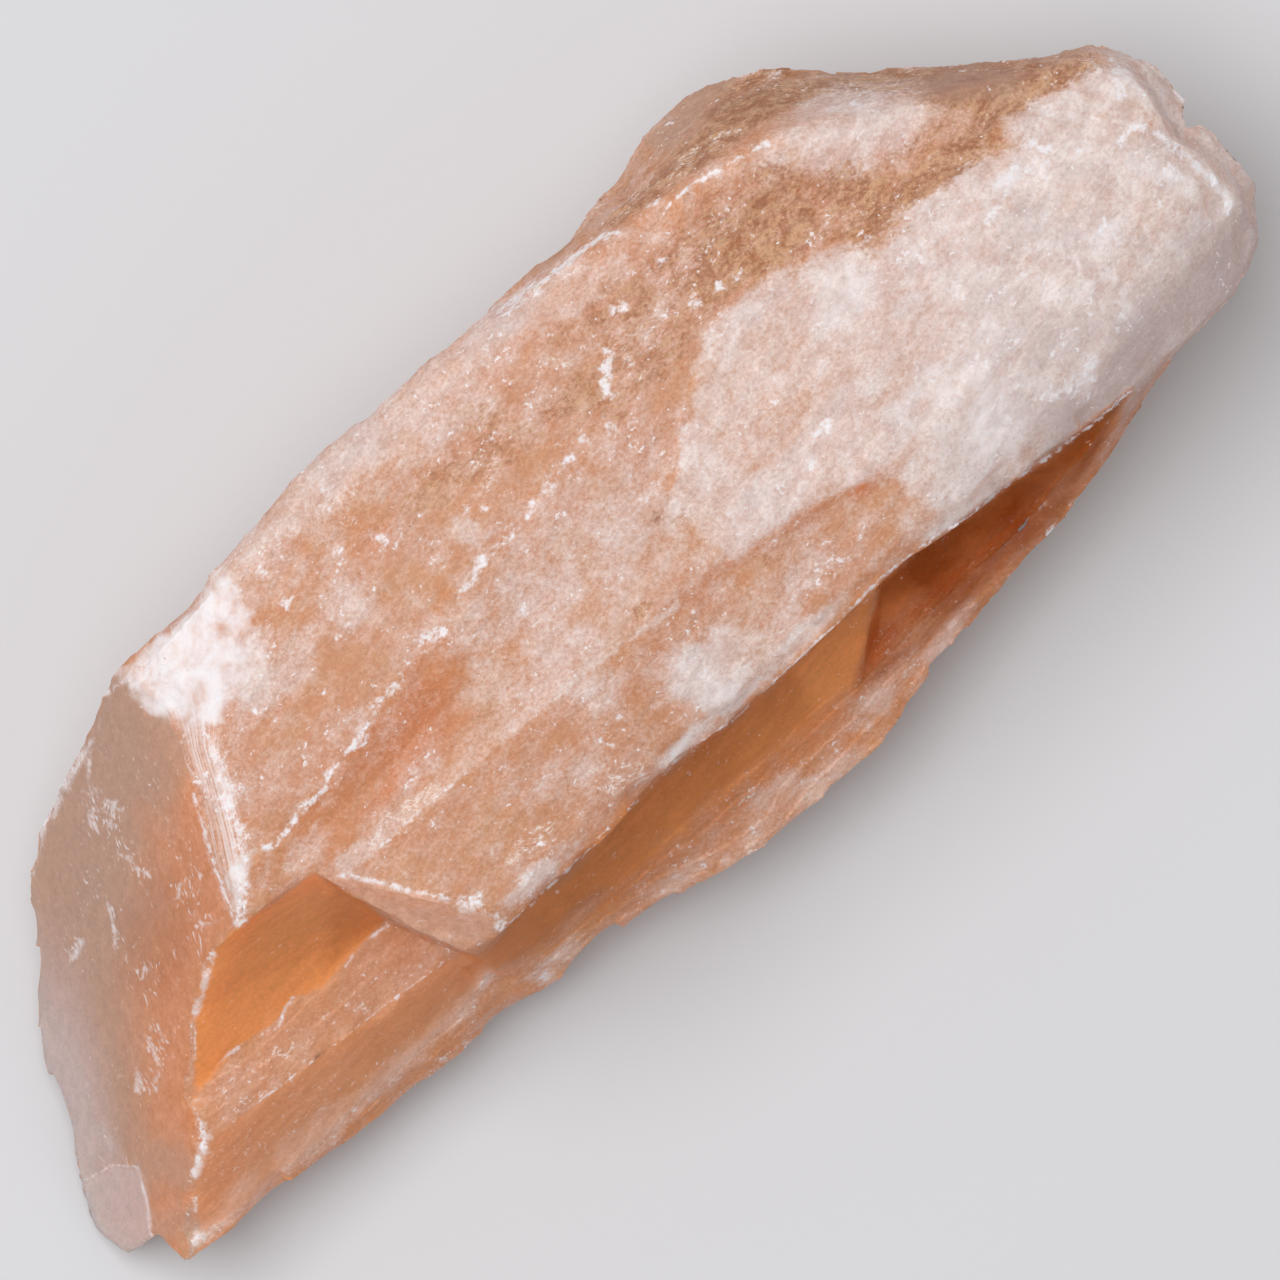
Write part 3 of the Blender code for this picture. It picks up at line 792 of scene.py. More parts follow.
# %% Clear orange
FLANK = [(-45, -8.4), (-19, -8.2), (-16, -12), (-46, -10)]
SLAB = [(-19, -8.4), (-8, -9.2), (8.5, -10.2), (12, -10.5), (17, -11), (16, -15), (-16, -15)]
SLAB_TOP = [(-14, -8.8), (-4, -9.2), (8, -9.8), (7, -11.2), (-3, -10.9), (-12, -10)]
FAR_SLAB = [(16, -10.5), (24, -10.3), (32, -9), (36, -8.2), (30, -12), (16, -13)]
CLEAR_PATCHES = (
    (FLANK, 0.5, 0.2, 0.45), (SLAB, 1.5, 0.5, 0.35), (SLAB_TOP, 0.8, 0.3, 0.8), (FAR_SLAB, 1, 0.4, 0.55),
)
CLEAR_BLOBS = (
    (-13, 5.8, 3.8, 2.4, 10, 1), (-12.2, 7.2, 2.2, 1.3, 20, 1), (-17.4, 4.3, 1.8, 0.7, 0, 0.8),
    (-16.2, 17.6, 1.6, 1.2, 20, 0.5), (-6.8, 16.4, 1.6, 1.8, 0, 0.5), (-20, 8.5, 3.5, 1.2, 10, 0.2),
    (17, -1.5, 2, 0.7, -14, 0.9), (-3.2, -5.8, 1.4, 0.5, 0, 0.6), (46.6, 5, 0.9, 2.4, 0, 0.5),
    (47, -3, 0.6, 1.4, 0, 0.5),
)
rim_gap = np.minimum(line_distance(points, RECESS_RIM)[0], line_distance(points, BRUISE_LEFT)[0])
end_share = patch(points, END_FACE, 0.6, 0.2, 3) * facing_along(facing, END_FACING, 0.3)
end_clear = np.exp(-((rim_gap / 5.5) ** 2)) * smooth((20.0 - points[:, 1]) / 9)
hidden_clear = 0.45 + 0.5 * drift(points, (11, 7, 7), 201)
clear = (1.0 - above) * hidden_clear + above * 0.12 * (1.0 + drift(points, 4, 202))
clear = brushed(clear, end_share, end_clear)
clear = brush_patches(clear, CLEAR_PATCHES, 210)
clear = brushed(clear, crest_foot, 0.5)
clear = brush_blobs(clear, CLEAR_BLOBS, 230)
keep_coat("clear", clear)

# %% [markdown]
# ## Painted glow and painted shade
#
# Much of the light on the recess and under the lip has come through the stone itself, so
# these walls glow where an opaque stone would be in shade. That glow is painted into the
# colour as a bright orange coat. The shade is painted too: a dark coat turns the orange to
# brown in the farthest hollow, under the lip and in the lip's shadow on the recess wall.
# Each is a coat of its own.

# %% Painted glow on the walls and painted shade in the hollows
WALL_SHADE = [(-23.3, 3.6), (-22.2, 0.5), (-22.2, -1.3), (-26.4, -0.9), (-25.4, 0.2), (-23, 2.3)]
HOLLOW_SHOULDER = [(8.5, -10.6), (12.6, -7.4), (15, -8.2), (15.5, -10.9)]
UNDER_END = [(-19, -6.6), (-6, -6.2), (-8, -9.2), (-18, -8.6)]
HOLLOW_FLOOR = [(9, -10.2), (12, -8.6), (16, -8.9), (28, -8.9), (26, -10.6), (12, -11)]
UNDER_CREASE = [(6.5, -6.3), (14, -6.3), (8.5, -10.4), (5.5, -9.8)]
SLOPE_END = [(-30, -8.2), (-28, -5.2), (-20, -5.9), (-19.6, -8)]
BACK_CORNER = [(36, 12.6), (38.5, 10.6), (42, 10.2), (39.4, 13.4), (36.8, 15.2)]
# Where the glow is painted: walls turned from the lamp, lit through the stone.
PAINTED_GLOW_PATCHES = (
    (RECESS_WALL, 0.3, 0.1, 1), (RECESS_LEDGE, 0.3, 0.15, 0.15), (RECESS_SLOPE, 0.4, 0.15, 0.5),
    (FLANK, 0.5, 0.2, 0.3), (SLAB, 1.5, 0.5, 0.3), (SLAB_TOP, 0.8, 0.3, 0.6), (FAR_SLAB, 1, 0.4, 0.3),
    (LIP_BEVEL, 0.3, 0.1, 0.2), (UNDER_LIP, 1.2, 0.5, 1), (FRONT_HOLLOW, 0.6, 0.3, 1),
    (HOLLOW_FLOOR, 1.2, 0.5, 0.2),
)
# Where the shade is painted: the hollows, under the lip and the lip's shadow on the wall.
PAINTED_SHADE_PATCHES = (
    (WALL_SHADE, 0.3, 0.1, 0.3), (UNDER_LIP, 0.8, 0.2, 0.46), (UNDER_CREASE, 1.6, 0.3, 0.1),
    (FAR_SLAB, 1.5, 0.4, 0.4), (FRONT_HOLLOW, 0.6, 0.2, 1), (SLAB_TOP, 1.2, 0.4, 0.3),
    (SLOPE_END, 2, 0.5, 0.17), (BACK_CORNER, 1.6, 0.6, 0.16), (HOLLOW_FLOOR, 1.2, 0.4, 0.86),
    (HOLLOW_SHOULDER, 2, 0.6, 0.5), (UNDER_END, 2.5, 0.8, 0.5),
)
# Painted glow: light that came through the stone, laid into the colour as a coat.
painted_glow = brushed(bare, end_share, 0.20 * end_clear)
painted_glow = brush_patches(painted_glow, PAINTED_GLOW_PATCHES, 240)
keep_coat("painted_glow", painted_glow)
# Painted shade: the deep coat darkens the hollows, the ground under the lip and a patch of the end.
deep = brushed(bare, blob(points, (-33, 7.5), (5.5, 3.5), 40, 0.3, 249), 0.28)
deep = brush_patches(deep, PAINTED_SHADE_PATCHES, 250)
keep_coat("deep", deep)

# %% [markdown]
# ## Iron
#
# Iron-stained water has run along the trough behind the plateau and dried there in brown
# streaks. Less of it has dried on the back and in the hollow below the lip.

# %% Iron stain
TROUGH = [
    (-5, 15.2), (2, 14), (8, 13), (13, 11.3), (18, 12.4), (22, 12), (25, 10.9), (28, 8.7), (31, 9),
    (35, 8.4), (40, 8.8), (44.5, 8.1), (45, 9.8), (40, 11), (35, 11.6), (31, 12.8), (28, 15.8), (25, 17.4),
    (19, 18.4), (11, 18.2), (4, 17.8), (-4, 17),
]
BACK_STAIN = [
    (15, 20.6), (20, 21.3), (25, 21.5), (27.5, 22.8), (32, 20.5), (36, 16.4), (33, 18.4), (29, 18.6),
    (24, 19.2),
]
ROLLED_BACK = [(31.5, 19.5), (34.5, 16.6), (37.5, 13.4), (41.5, 10.4), (44, 9.4)]
IRON_PATCHES = (
    (TROUGH, 2, 1.4, 0.45), (BACK_STAIN, 1, 0.5, 0.9), (BACK_FLANK, 1, 0.3, 0.3),
    (FAR_SLAB, 1.5, 0.5, 0.35), (SLAB, 2, 0.8, 0.15), (HOLLOW_FLOOR, 1.4, 0.6, 0.75),
)
IRON_BLOBS = (
    (22, 14.2, 5.5, 2.8, -12, 0.85), (28.3, 11.2, 2.8, 3, -30, 0.8), (33, 9.7, 5, 1.2, -4, 0.9),
    (40.5, 9.7, 5, 1.4, -10, 1), (38.8, 12.4, 4.4, 2.2, -38, 1), (44, 8.4, 1.6, 0.8, -30, 0.55),
    (10.5, 12.4, 4, 1.4, 20, 0.45), (8, 16.4, 6, 1.8, 0, 0.1), (-9, 4.2, 1.6, 0.7, 0, 0.3),
    (2.1, 2.2, 0.9, 0.6, 10, 0.65), (6.6, 5.6, 0.6, 0.7, 0, 0.55), (7.5, 4.6, 0.7, 1, 0, 0.3),
    (10.5, -0.6, 3, 1.2, -8, 0.25), (3.6, -11.6, 1.4, 1.2, 0, 0.4), (12.8, -9.8, 3, 1, 10, 0.45),
)
iron = (1.0 - above) * np.clip(0.25 + 0.6 * drift(points, (10, 6, 4), 301), 0, 1)
iron = brush_patches(iron, IRON_PATCHES, 310)
iron = brush_blobs(iron, IRON_BLOBS, 330)
iron = brushed(iron, stroke(points, ROLLED_BACK, 2.2, 0.9, 0.8, 339), 0.75)
keep_coat("iron", iron)

# %% [markdown]
# ## Tan and grey skin
#
# The cleaved end has no such stain, but towards its thin outer edge it turns from orange
# through tan to a pinkish grey. Tan and grey are a coat each. The same grey makes the rolled
# facet of the head, the block split from the tip, and damp spots on the crust.

# %% Tan and grey skin
ROLLED_FACET = [(27, -6), (34, -5.1), (44, -4.4), (48, -4), (46, -8.5), (28, -8.6)]
TIP_BLOCK = [*TIP_STEP, (-46.6, -7.2), (-50, -6), (-50, 0)]
end_grey = 0.45 + 0.55 * smooth((-35.0 - points[:, 0]) / 10)
end_grey = end_grey * smooth((rim_gap + 9.0 * smooth((points[:, 1] - 11) / 5) - 1) / 7)
TAN_SPOTS = (
    (-42.6, -3.2, 3.8, 2, -50, 0.8), (-44.2, -6.4, 2.2, 1.8, 0, 0.66), (24.5, 22.6, 5.6, 1.6, 0, 0.66),
    (38.4, 12.2, 3.8, 1.6, -38, 0.6),
)
tan = brushed(bare, end_share, 0.92 * smooth(end_grey / 0.45))
tan = brush_blobs(tan, TAN_SPOTS, 342)
keep_coat("tan", tan)
GREY_SPOTS = (
    (36.8, 1.4, 1.8, 1, 20, 0.34), (44.2, 1.6, 1.4, 2, 0, 0.36), (31, -2.6, 2.2, 1, 10, 0.3),
    (33, -3.9, 1.8, 0.8, 0, 0.3), (40.5, 2.6, 1.6, 0.9, 40, 0.3), (35, 4.2, 1.8, 0.8, 0, 0.28),
    (18.6, 3.4, 1.4, 0.9, 0, 0.3), (26.5, 4.8, 1.8, 0.9, 0, 0.28), (18.9, 10.6, 0.6, 1.2, 0, 0.4),
    (42, -3.2, 2.2, 0.9, 0, 0.34), (12, 2.6, 1.6, 0.9, 10, 0.28), (22, -3.6, 1.8, 1, 30, 0.24),
    (-5, 21, 4.5, 1.4, 0, 0.34), (8.5, 20.4, 5, 1.2, -6, 0.38), (-45, 1, 1.6, 2.4, 20, 0.95),
    (39.6, -2.2, 1.2, 0.7, 60, 0.36), (33.6, -2.8, 0.8, 1.2, 0, 0.3), (43, 3, 1.4, 0.8, 0, 0.3),
)
grey = brushed(bare, end_share, 0.92 * smooth((end_grey - 0.4) / 0.6))
grey = brushed(grey, patch(points, ROLLED_FACET, 3, 1.4, 340), 0.8)
grey = brushed(grey, patch(points, TIP_BLOCK, 0.4, 0.1, 341), 0.95)
keep_coat("grey", brush_blobs(grey, GREY_SPOTS, 350))

# %% [markdown]
# ## White lines
#
# Calcite is white where it was struck, since a crushed spot is full of air. Along an edge
# the knocks run together into a line. Such a line is no wider than a triangle of the mesh,
# so it isn't painted. What is kept instead is the distance to the nearest line, measured in
# that line's own width. It changes evenly, so the material can draw a fine border through it.

# %% White lines
# Each white line is its points and half its width.
WHITE_LINES = (
    ([(-28.6, 4.8), (-26, 7.4), (-24.9, 8.7), (-24.2, 10.6), (-22.9, 13)], 0.55),
    ([(-29, 4.7), (-28.3, 6.2), (-27, 9.2), (-25.4, 12.4)], 0.16),
    ([(-22.3, 2.8), (-21, 1.2), (-20, -0.5), (-19, -1.8), (-18.2, -3.2)], 0.22),
    ([(-17.4, -4.6), (-16.9, -5.6), (-17.4, -6.2)], 0.22),
    ([(-34.5, 2.4), (-33.2, 3.1), (-32.4, 3.6), (-31, 4.4)], 0.26), ([(-38.6, -1.7), (-39, -3)], 0.16),
    ([(-39.2, -3.4), (-39.9, -4.1), (-41.2, -4.8)], 0.4), ([(-42.2, -5.8), (-43, -6.7)], 0.2),
    ([(-36.5, 0.3), (-35.2, 1.7)], 0.1),
    ([(-37.6, 15), (-35, 16.5), (-32.5, 17.8), (-31, 18.4), (-28, 18.9)], 0.34),
    ([(-25.2, 20.4), (-23, 20.1), (-20, 20.1)], 0.22),
    ([(-43.7, -2.1), (-44.8, -4.2), (-46.3, -6.2)], 0.18),
    ([(-47.5, -0.4), (-44.8, -1), (-43.7, -2.1)], 0.1), ([(8.2, 21.3), (9.6, 21), (10.6, 20.9)], 0.5),
    ([(10.6, 20.9), (13.6, 20.7), (15, 20.6), (16.6, 20.1)], 0.28), ([(18.6, 20), (19.6, 19.8)], 0.2),
    ([(19.6, 19.1), (20.6, 19.1), (22, 19), (23.4, 18.7)], 0.17),
    ([(24, 18.6), (25.4, 18.2), (26.8, 17.9)], 0.11), ([(44.5, 5.4), (45, 6.4), (45.8, 7.1)], 0.4),
    ([(44.6, 2.4), (44.9, 0.8), (45.2, -1)], 0.36), ([(45.3, -1.8), (45.2, -3.2), (44.6, -4.2)], 0.3),
    ([(33.4, 5.2), (35.3, 5.8), (36.8, 6.8)], 0.24), ([(38.3, 7.3), (39.2, 6.2), (38.6, 5.6)], 0.26),
    ([(42.4, 3.2), (43.6, 3.9), (44.3, 3.2)], 0.32), ([(42, -0.1), (43.2, 0.2), (44, -0.1)], 0.32),
    ([(38, 0.3), (38.9, -0.1), (38.5, -0.8)], 0.3),
    ([(28.6, -4.6), (30.4, -5.6), (32.4, -5.2), (31.6, -6)], 0.36),
    ([(17.6, 2.4), (18.4, 3.2), (17, 2.8)], 0.24), (LIP_EDGE[8:], 0.13), (LIP_EDGE[:9], 0.11),
    (LEDGE_EDGE, 0.08), ([(-19.5, 2.3), (-15, 2.2), (-11.2, 2)], 0.09),
    ([(-24.6, 7), (-23.4, 6.8), (-22.4, 6.6), (-21.9, 7)], 0.24),
    ([(-20.9, 7.1), (-19.2, 7.2), (-18.4, 7.6)], 0.24), ([(-18.4, 7.6), (-17, 7.9), (-16.2, 7.9)], 0.18),
    ([(-16.2, 7.9), (-15.2, 8), (-14.6, 8.4), (-13.2, 8.8)], 0.36), ([(-12.8, 8.8), (-11.9, 8.9)], 0.44),
    ([(-8.8, 9.9), (-8.2, 9.5), (-7.6, 9.4)], 0.44), ([(-5.4, 10.2), (-4.2, 10.4), (-2.8, 10.7)], 0.24),
    ([(-1.8, 11), (-1, 10.6), (0, 11.3)], 0.26), ([(9.4, 13.2), (10, 14), (11, 15)], 0.42),
    ([(-31.6, 14.4), (-31.2, 15.6), (-30.2, 16), (-29.4, 15.2)], 0.24),
    ([(-30.6, 14.4), (-29.8, 15), (-29.2, 14.4)], 0.22), ([(-31.6, 12.9), (-31, 12)], 0.18),
    ([(-31.2, 11.4), (-30.8, 10.4)], 0.18), ([(-28.9, 18.2), (-29.6, 17.4)], 0.22),
    ([(-35.5, 8.6), (-34.4, 10.2), (-34, 11)], 0.17), ([(-37.9, 10), (-36.8, 10.4)], 0.3),
    ([(-30.6, 8.2), (-29.8, 8.9)], 0.17), ([(-35.6, 6.2), (-34.2, 7)], 0.16),
    ([(-34, 4.2), (-33.4, 5.4), (-32.6, 6.6)], 0.15), ([(-32.6, 9), (-31.6, 10)], 0.13),
    ([(-38.4, 1.6), (-37.6, 3.4)], 0.18), ([(-37.2, 2.4), (-36.6, 4)], 0.15),
    ([(-40.5, 1.4), (-39.8, 2)], 0.32), ([(-39.6, 0.6), (-39, 1.2)], 0.2),
    ([(-30.8, 5.2), (-30.1, 7.2)], 0.16), ([(-30.2, 5), (-29.6, 6.6)], 0.13),
    ([(-33, 17.2), (-31, 18), (-29.2, 18.6)], 0.34), ([(-36.4, -1), (-35.2, -0.7), (-34, -0.9)], 0.16),
    ([(-31.4, -1.6), (-30.2, -1), (-29.6, -0.9)], 0.16),
    ([(-26.2, -1.7), (-24.4, -1.3), (-22.6, -1.5)], 0.16), ([(-5, -2), (-4.8, -2.8)], 0.16),
    ([(-0.4, -2.2), (-0.3, -3.6), (-0.2, -5)], 0.1),
)
line_gaps = [line_distance(points, line)[0] / width for line, width in WHITE_LINES]
print("white lines:", len(line_gaps))

# %% [markdown]
# ## Chips
#
# Single chips are kept in the same way, in their own radii. One coat holds the nearest of
# all lines and chips. Marks on the hidden side are put far off, so that none shows there.

# %% Chips
# Each chip is its middle and its radius.
CHIPS = (
    (-11.2, 9.2, 0.24), (-9.3, 9.2, 0.22), (-6.3, 9.8, 0.28), (-3, 10.9, 0.42), (0.9, 11, 0.34),
    (1.5, 11.4, 0.34), (3.1, 11.6, 0.5), (5, 11.9, 0.48), (5.2, 12.8, 0.34), (6.3, 12.1, 0.38),
    (8.2, 11.8, 0.5), (11.6, 13.7, 0.4), (13.4, 16.5, 0.55), (17.2, 17.1, 0.45), (16.3, 17, 0.25),
    (17.2, 13.6, 0.45), (18.7, 13.4, 0.42), (19.8, 13.3, 0.3), (20.4, 13.2, 0.2), (27.2, 9.6, 0.36),
    (30.2, 20.8, 0.5), (26.8, 17.8, 0.34), (13.8, 14.2, 0.22), (15.2, 14.3, 0.22), (23.8, 15.2, 0.22),
    (-17.7, -4, 0.85), (-11.9, -4.2, 0.26), (-11.6, -3.7, 0.22), (-5, -2, 0.22), (-4.8, -2.6, 0.2),
    (-43.8, -7.8, 0.38), (-38.9, -2.8, 0.34), (-31.5, -8.4, 0.3), (-25.5, -9.9, 0.45), (-23.8, -10.3, 0.35),
    (-17.4, -10.4, 0.45), (-13.3, -7, 0.22), (23.8, -11.2, 0.45), (26, -10.7, 0.3), (3.9, -1.5, 0.18),
    (-3.2, -1.7, 0.22), (-0.2, -0.1, 0.24), (1.2, -0.3, 0.24), (2.6, -0.2, 0.26), (4.4, 0, 0.24),
    (-3.2, 6.8, 0.3), (6.4, 5.7, 0.22), (46, 6.4, 0.45), (34, 17.8, 0.34), (20.2, 5.4, 0.34),
    (38.8, -0.2, 0.42), (43.8, 0, 0.5), (37.4, 6, 0.55), (39, 6.4, 0.4), (43.6, 3.9, 0.55),
    (44.2, 3.3, 0.35), (30.6, -5.6, 0.8), (32.2, -5.2, 0.6), (16.4, 6.1, 0.4), (17.8, 2.8, 0.4),
    (15.6, 1.6, 0.34), (-6.5, 16, 0.6), (-13.5, 17, 0.5), (-13.2, 19.5, 0.55), (-19.2, 13.4, 0.38),
    (-12.7, 13.4, 0.24), (-15.4, 11.6, 0.26), (-7.2, 18, 0.34), (-9, 17, 0.45), (-1.6, 13.8, 0.3),
    (-0.8, 13.2, 0.26), (2.6, 16, 0.5), (-1.8, 20, 0.3), (-7, 20.4, 0.5), (33.5, 5.6, 0.34),
    (35.3, 5.8, 0.3), (36.8, 6.6, 0.34), (38.5, 7.4, 0.26), (40.5, 4.8, 0.34), (38.4, 0.2, 0.36),
    (38.9, -1.1, 0.26), (41.9, -0.9, 0.26), (29, -5.2, 0.34), (34.2, -4.5, 0.26), (12.5, 4.8, 0.24),
    (10, 3, 0.26), (22.5, 0.5, 0.24), (27.5, -2.6, 0.22), (24.5, 6.8, 0.24), (32.5, 16.1, 0.4),
    (36.2, 13.4, 0.24), (41.8, 8.9, 0.32), (40.6, 7.8, 0.34), (44.6, 6, 0.4),
)
FAR_OFF = 9  # in radii of a mark, and further than any white is drawn
chip_gaps = [np.hypot(points[:, 0] - x, points[:, 1] - y) / radius for x, y, radius in CHIPS]
chip_gap = np.minimum.reduce([*line_gaps, *chip_gaps])
chip_gap = np.where(above > 0.2, chip_gap, FAR_OFF)
keep_coat("chip_gap", chip_gap, most=FAR_OFF)
print("chips:", len(CHIPS))

# %% [markdown]
# ## Powder, slivers and scratches
#
# Three more things are white: the powder on the crushed corner and on the plateau, the felt
# of slivers down the bruise, and the fine scratches on the cleaved end. They are patches, so
# each is a coat. The bruise also keeps how far across it and down it each point lies.

# %% Powder, slivers and scratches
POWDER = [
    (-24.6, 21.2), (-19, 21.6), (-15, 21.2), (-14.6, 19.2), (-16.2, 16.8), (-19.6, 13.8), (-22.8, 15.2),
    (-24.4, 17.4),
]
POWDER_BLOBS = (
    (25, -3.2, 4.6, 2.4, 0, 0.58), (31, -5.4, 2.4, 1.1, 0, 0.9), (28.6, -3.6, 2, 1, 30, 0.5),
    (24.6, -5.4, 2.2, 0.8, -10, 0.55), (35.6, 6.2, 3.6, 1.1, 18, 0.78), (40.6, 6.6, 2, 0.8, 10, 0.7),
    (44.2, 4.2, 0.9, 2.4, 20, 0.85), (38.6, 0, 2.2, 1.1, 0, 0.74), (43.4, 0, 1.8, 1.2, 0, 0.8),
    (33.4, 1.2, 2, 1, 20, 0.42), (41.4, -4.2, 2.6, 0.6, 0, 0.46), (20.4, 5, 1.2, 1, 0, 0.46),
    (16.2, 6.2, 1.2, 1, 0, 0.46), (17, 3, 1.4, 0.8, 30, 0.42), (9.6, 3, 1.2, 3.4, 0, 0.34),
    (-11, -5.7, 1.8, 0.5, 0, 0.75), (-1.6, -5.5, 1.8, 0.6, 0, 0.85), (3.4, -5.8, 2, 0.6, 0, 0.8),
    (10, 14.2, 2, 1.2, 50, 0.66), (8.2, 12.2, 1.6, 0.9, 20, 0.5), (17.4, 13.6, 1.6, 0.8, 0, 0.5),
    (-4, 20.6, 3.4, 1.2, 0, 0.4), (30.4, 20.4, 0.9, 0.7, 0, 0.6), (-17.6, -10, 1.8, 0.8, 0, 0.62),
    (-7, -11.8, 1.6, 0.6, -10, 0.6), (-4, -12.6, 2.4, 0.7, -10, 0.62), (2, -11.4, 1.4, 0.8, 0, 0.5),
    (7.2, -11.8, 1.4, 1, 30, 0.62), (11.5, -10.9, 2.6, 0.8, 10, 0.5), (16, -11.3, 1.8, 0.6, 10, 0.6),
    (23.5, -11, 1.2, 0.5, 0, 0.55), (-22.5, -9.9, 1.6, 0.5, 0, 0.45),
)
BRUISE_LENGTH = 20
BRUISE_TOE = [(-29, 4.5), (-27.6, 7.4), (-25.6, 8), (-24.4, 7.2), (-26.4, 6.2), (-28, 5)]
powder = brushed(bare, patch(points, POWDER, 2.4, 0.9, 401), 1)
powder = brush_blobs(powder, POWDER_BLOBS, 405)
powder = brushed(powder, patch(points, BRUISE_TOE, 0.5, 0.15, 402), 0.9)
keep_coat("powder", powder)
left_gap, down, _ = line_distance(points, BRUISE_LEFT)
right_gap = line_distance(points, BRUISE_RIGHT)[0]
across = left_gap / (left_gap + right_gap + 0.05)
keep_coat("sliver_across", across)
keep_coat("sliver_along", down / BRUISE_LENGTH)
high = smooth((points[:, 1] - 13) / 6)
thick = 0.50 + 0.45 * smooth((across - 0.55) / 0.4) + 0.5 * high
band = patch(points, BRUISE_BAND, 1.8, 0.5, 403) * above
keep_coat("slivers", band * np.minimum(thick, 1))
keep_coat("polish", polish(points, facing))
SCRATCHED = (
    (-30.6, 15.2, 1.8, 1.8, 0, 0.85), (-31, 11.6, 0.9, 2.2, 0, 0.8), (-37.4, 10.3, 1.4, 0.9, 0, 0.8),
    (-34.6, 10.2, 2.4, 1.1, 60, 0.75), (-39.6, 1.4, 1.3, 0.9, 50, 0.85), (-37.6, 2.6, 2.2, 1.2, 60, 0.8),
    (-34.8, 6.2, 2.4, 1.4, 50, 0.7), (-31, 6.4, 3, 1.2, 60, 0.75), (-29.2, 9, 4.5, 1.6, 56, 0.62),
    (-31, 18.2, 2.6, 0.8, 20, 0.85), (-34, 12.6, 3.4, 1.4, 60, 0.45), (-26.6, 14.6, 3.4, 1.2, 60, 0.5),
    (-36.2, -6.4, 5.5, 1.2, -4, 0.45), (-26, -7.4, 6, 0.8, -2, 0.45),
)
keep_coat("scratches", brush_blobs(0.10 * end_share, SCRATCHED, 440))

# %% [markdown]
# ## Painted curl highlights
#
# Here and there the crust shows short bright curls, highlights on the rims of single crystals
# that are painted into the colour. They are finer than the mesh, so only where they gather is
# kept, as one more coat. The material draws the curls themselves.

# %% Where the painted curl highlights gather
CURL_HIGHLIGHT_BLOBS = (
    (-17, 2.8, 6, 1.4, 0, 0.8), (-12.5, -3.6, 2.6, 1, 0, 0.9), (-5.5, -4.6, 2.2, 1.2, -20, 0.9),
    (8, 16.6, 5.5, 1.8, 0, 0.5), (20, 16, 7, 3, -10, 0.42), (28, 10.6, 2.6, 2, -30, 0.42),
    (22, 20.4, 6, 0.8, -8, 0.7), (-9, 19.5, 6, 1.6, 0, 0.6), (1, 14.6, 3, 1.4, 0, 0.7),
    (45, 2, 1.4, 4, 0, 0.7), (-30, -3, 9.5, 2, -5, 0.5),
)
keep_coat("curl_highlights", brush_blobs(0.12 * above, CURL_HIGHLIGHT_BLOBS, 420))

# %% [markdown]
# ## Building a material from short words
#
# A material is a graph of nodes. Written out link by link, a graph this size would be
# unreadable, so a few one-line words stand for the nodes that it uses again and again. Each
# returns an output socket, which goes straight into the next word as a value.

# %% Words for nodes
finish = bpy.data.materials.new("calcite_crust_and_cleavage")
finish.use_nodes = True
tree = finish.node_tree
shader = tree.nodes["Principled BSDF"]


def node(kind, **settings):
    made = tree.nodes.new("ShaderNode" + kind)
    for name, value in settings.items():
        setattr(made, name, value)
    return made


def feed(socket, value):
    """Links the socket to another node's output, or sets it to a plain value."""
    if isinstance(value, bpy.types.NodeSocket):
        tree.links.new(value, socket)
    else:
        socket.default_value = value


def sums(kind, first, second=0.0, clamp=False):
    made = node("Math", operation=kind, use_clamp=clamp)
    feed(made.inputs[0], first)
    feed(made.inputs[1], second)
    return made.outputs[0]


def times(*values):
    product = values[0]
    for value in values[1:]:
        product = sums("MULTIPLY", product, value)
    return product


def plus(*values):
    total = values[0]
    for value in values[1:]:
        total = sums("ADD", total, value)
    return total


def less(value):
    """1 minus the value."""
    return sums("SUBTRACT", 1.0, value)


def about(value, amount):
    """A noise from 0 to 1 turned into one of `amount` either side of 0."""
    return times(sums("SUBTRACT", value, 0.5), 2.0 * amount)


def step(value, low, high):
    """0 below `low`, 1 above `high`, and an even S-curve between."""
    made = node("MapRange", interpolation_type="SMOOTHSTEP")
    feed(made.inputs["Value"], value)
    feed(made.inputs["From Min"], low)
    feed(made.inputs["From Max"], high)
    return made.outputs["Result"]


def over(share, below, above):
    """The colour `above` laid over the colour `below`."""
    made = node("Mix", data_type="RGBA")  # its colours go in at 6 and 7 and come out at 2
    feed(made.inputs[0], share)
    feed(made.inputs[6], below)
    feed(made.inputs[7], above)
    return made.outputs[2]


def coat(name):
    return node("Attribute", attribute_name=name).outputs["Fac"]


def laid(size, turn=0.0, place=None):
    """The place in units of `size` millimetres, along axes turned on the plan."""
    made = node("Mapping", vector_type="TEXTURE")
    feed(made.inputs["Vector"], place or where)
    made.inputs["Rotation"].default_value = (0.0, 0.0, math.radians(turn))
    made.inputs["Scale"].default_value = np.multiply(size, MM)
    return made.outputs["Vector"]


def clouds(place, detail, rough=0.55, output="Fac"):
    made = node("TexNoise")
    feed(made.inputs["Vector"], place)
    made.inputs["Scale"].default_value = 1.0
    made.inputs["Detail"].default_value = detail
    made.inputs["Roughness"].default_value = rough
    return made.outputs[output]


where = node("TexCoord").outputs["Object"]

# %% [markdown]
# ## Clouds, mottle and grain
#
# The crust is uneven at three sizes: clouds as wide as a fingertip, a mottle as of damp
# sugar, and grains that can hardly be seen. One sum of the three shifts how pale the crust
# is. On the cleavage planes it is cut to a small share, and faint streaks take its place.
# Plain noise looks like plain noise, so the place that the mottle reads is first pushed
# about by another noise, which curls it.

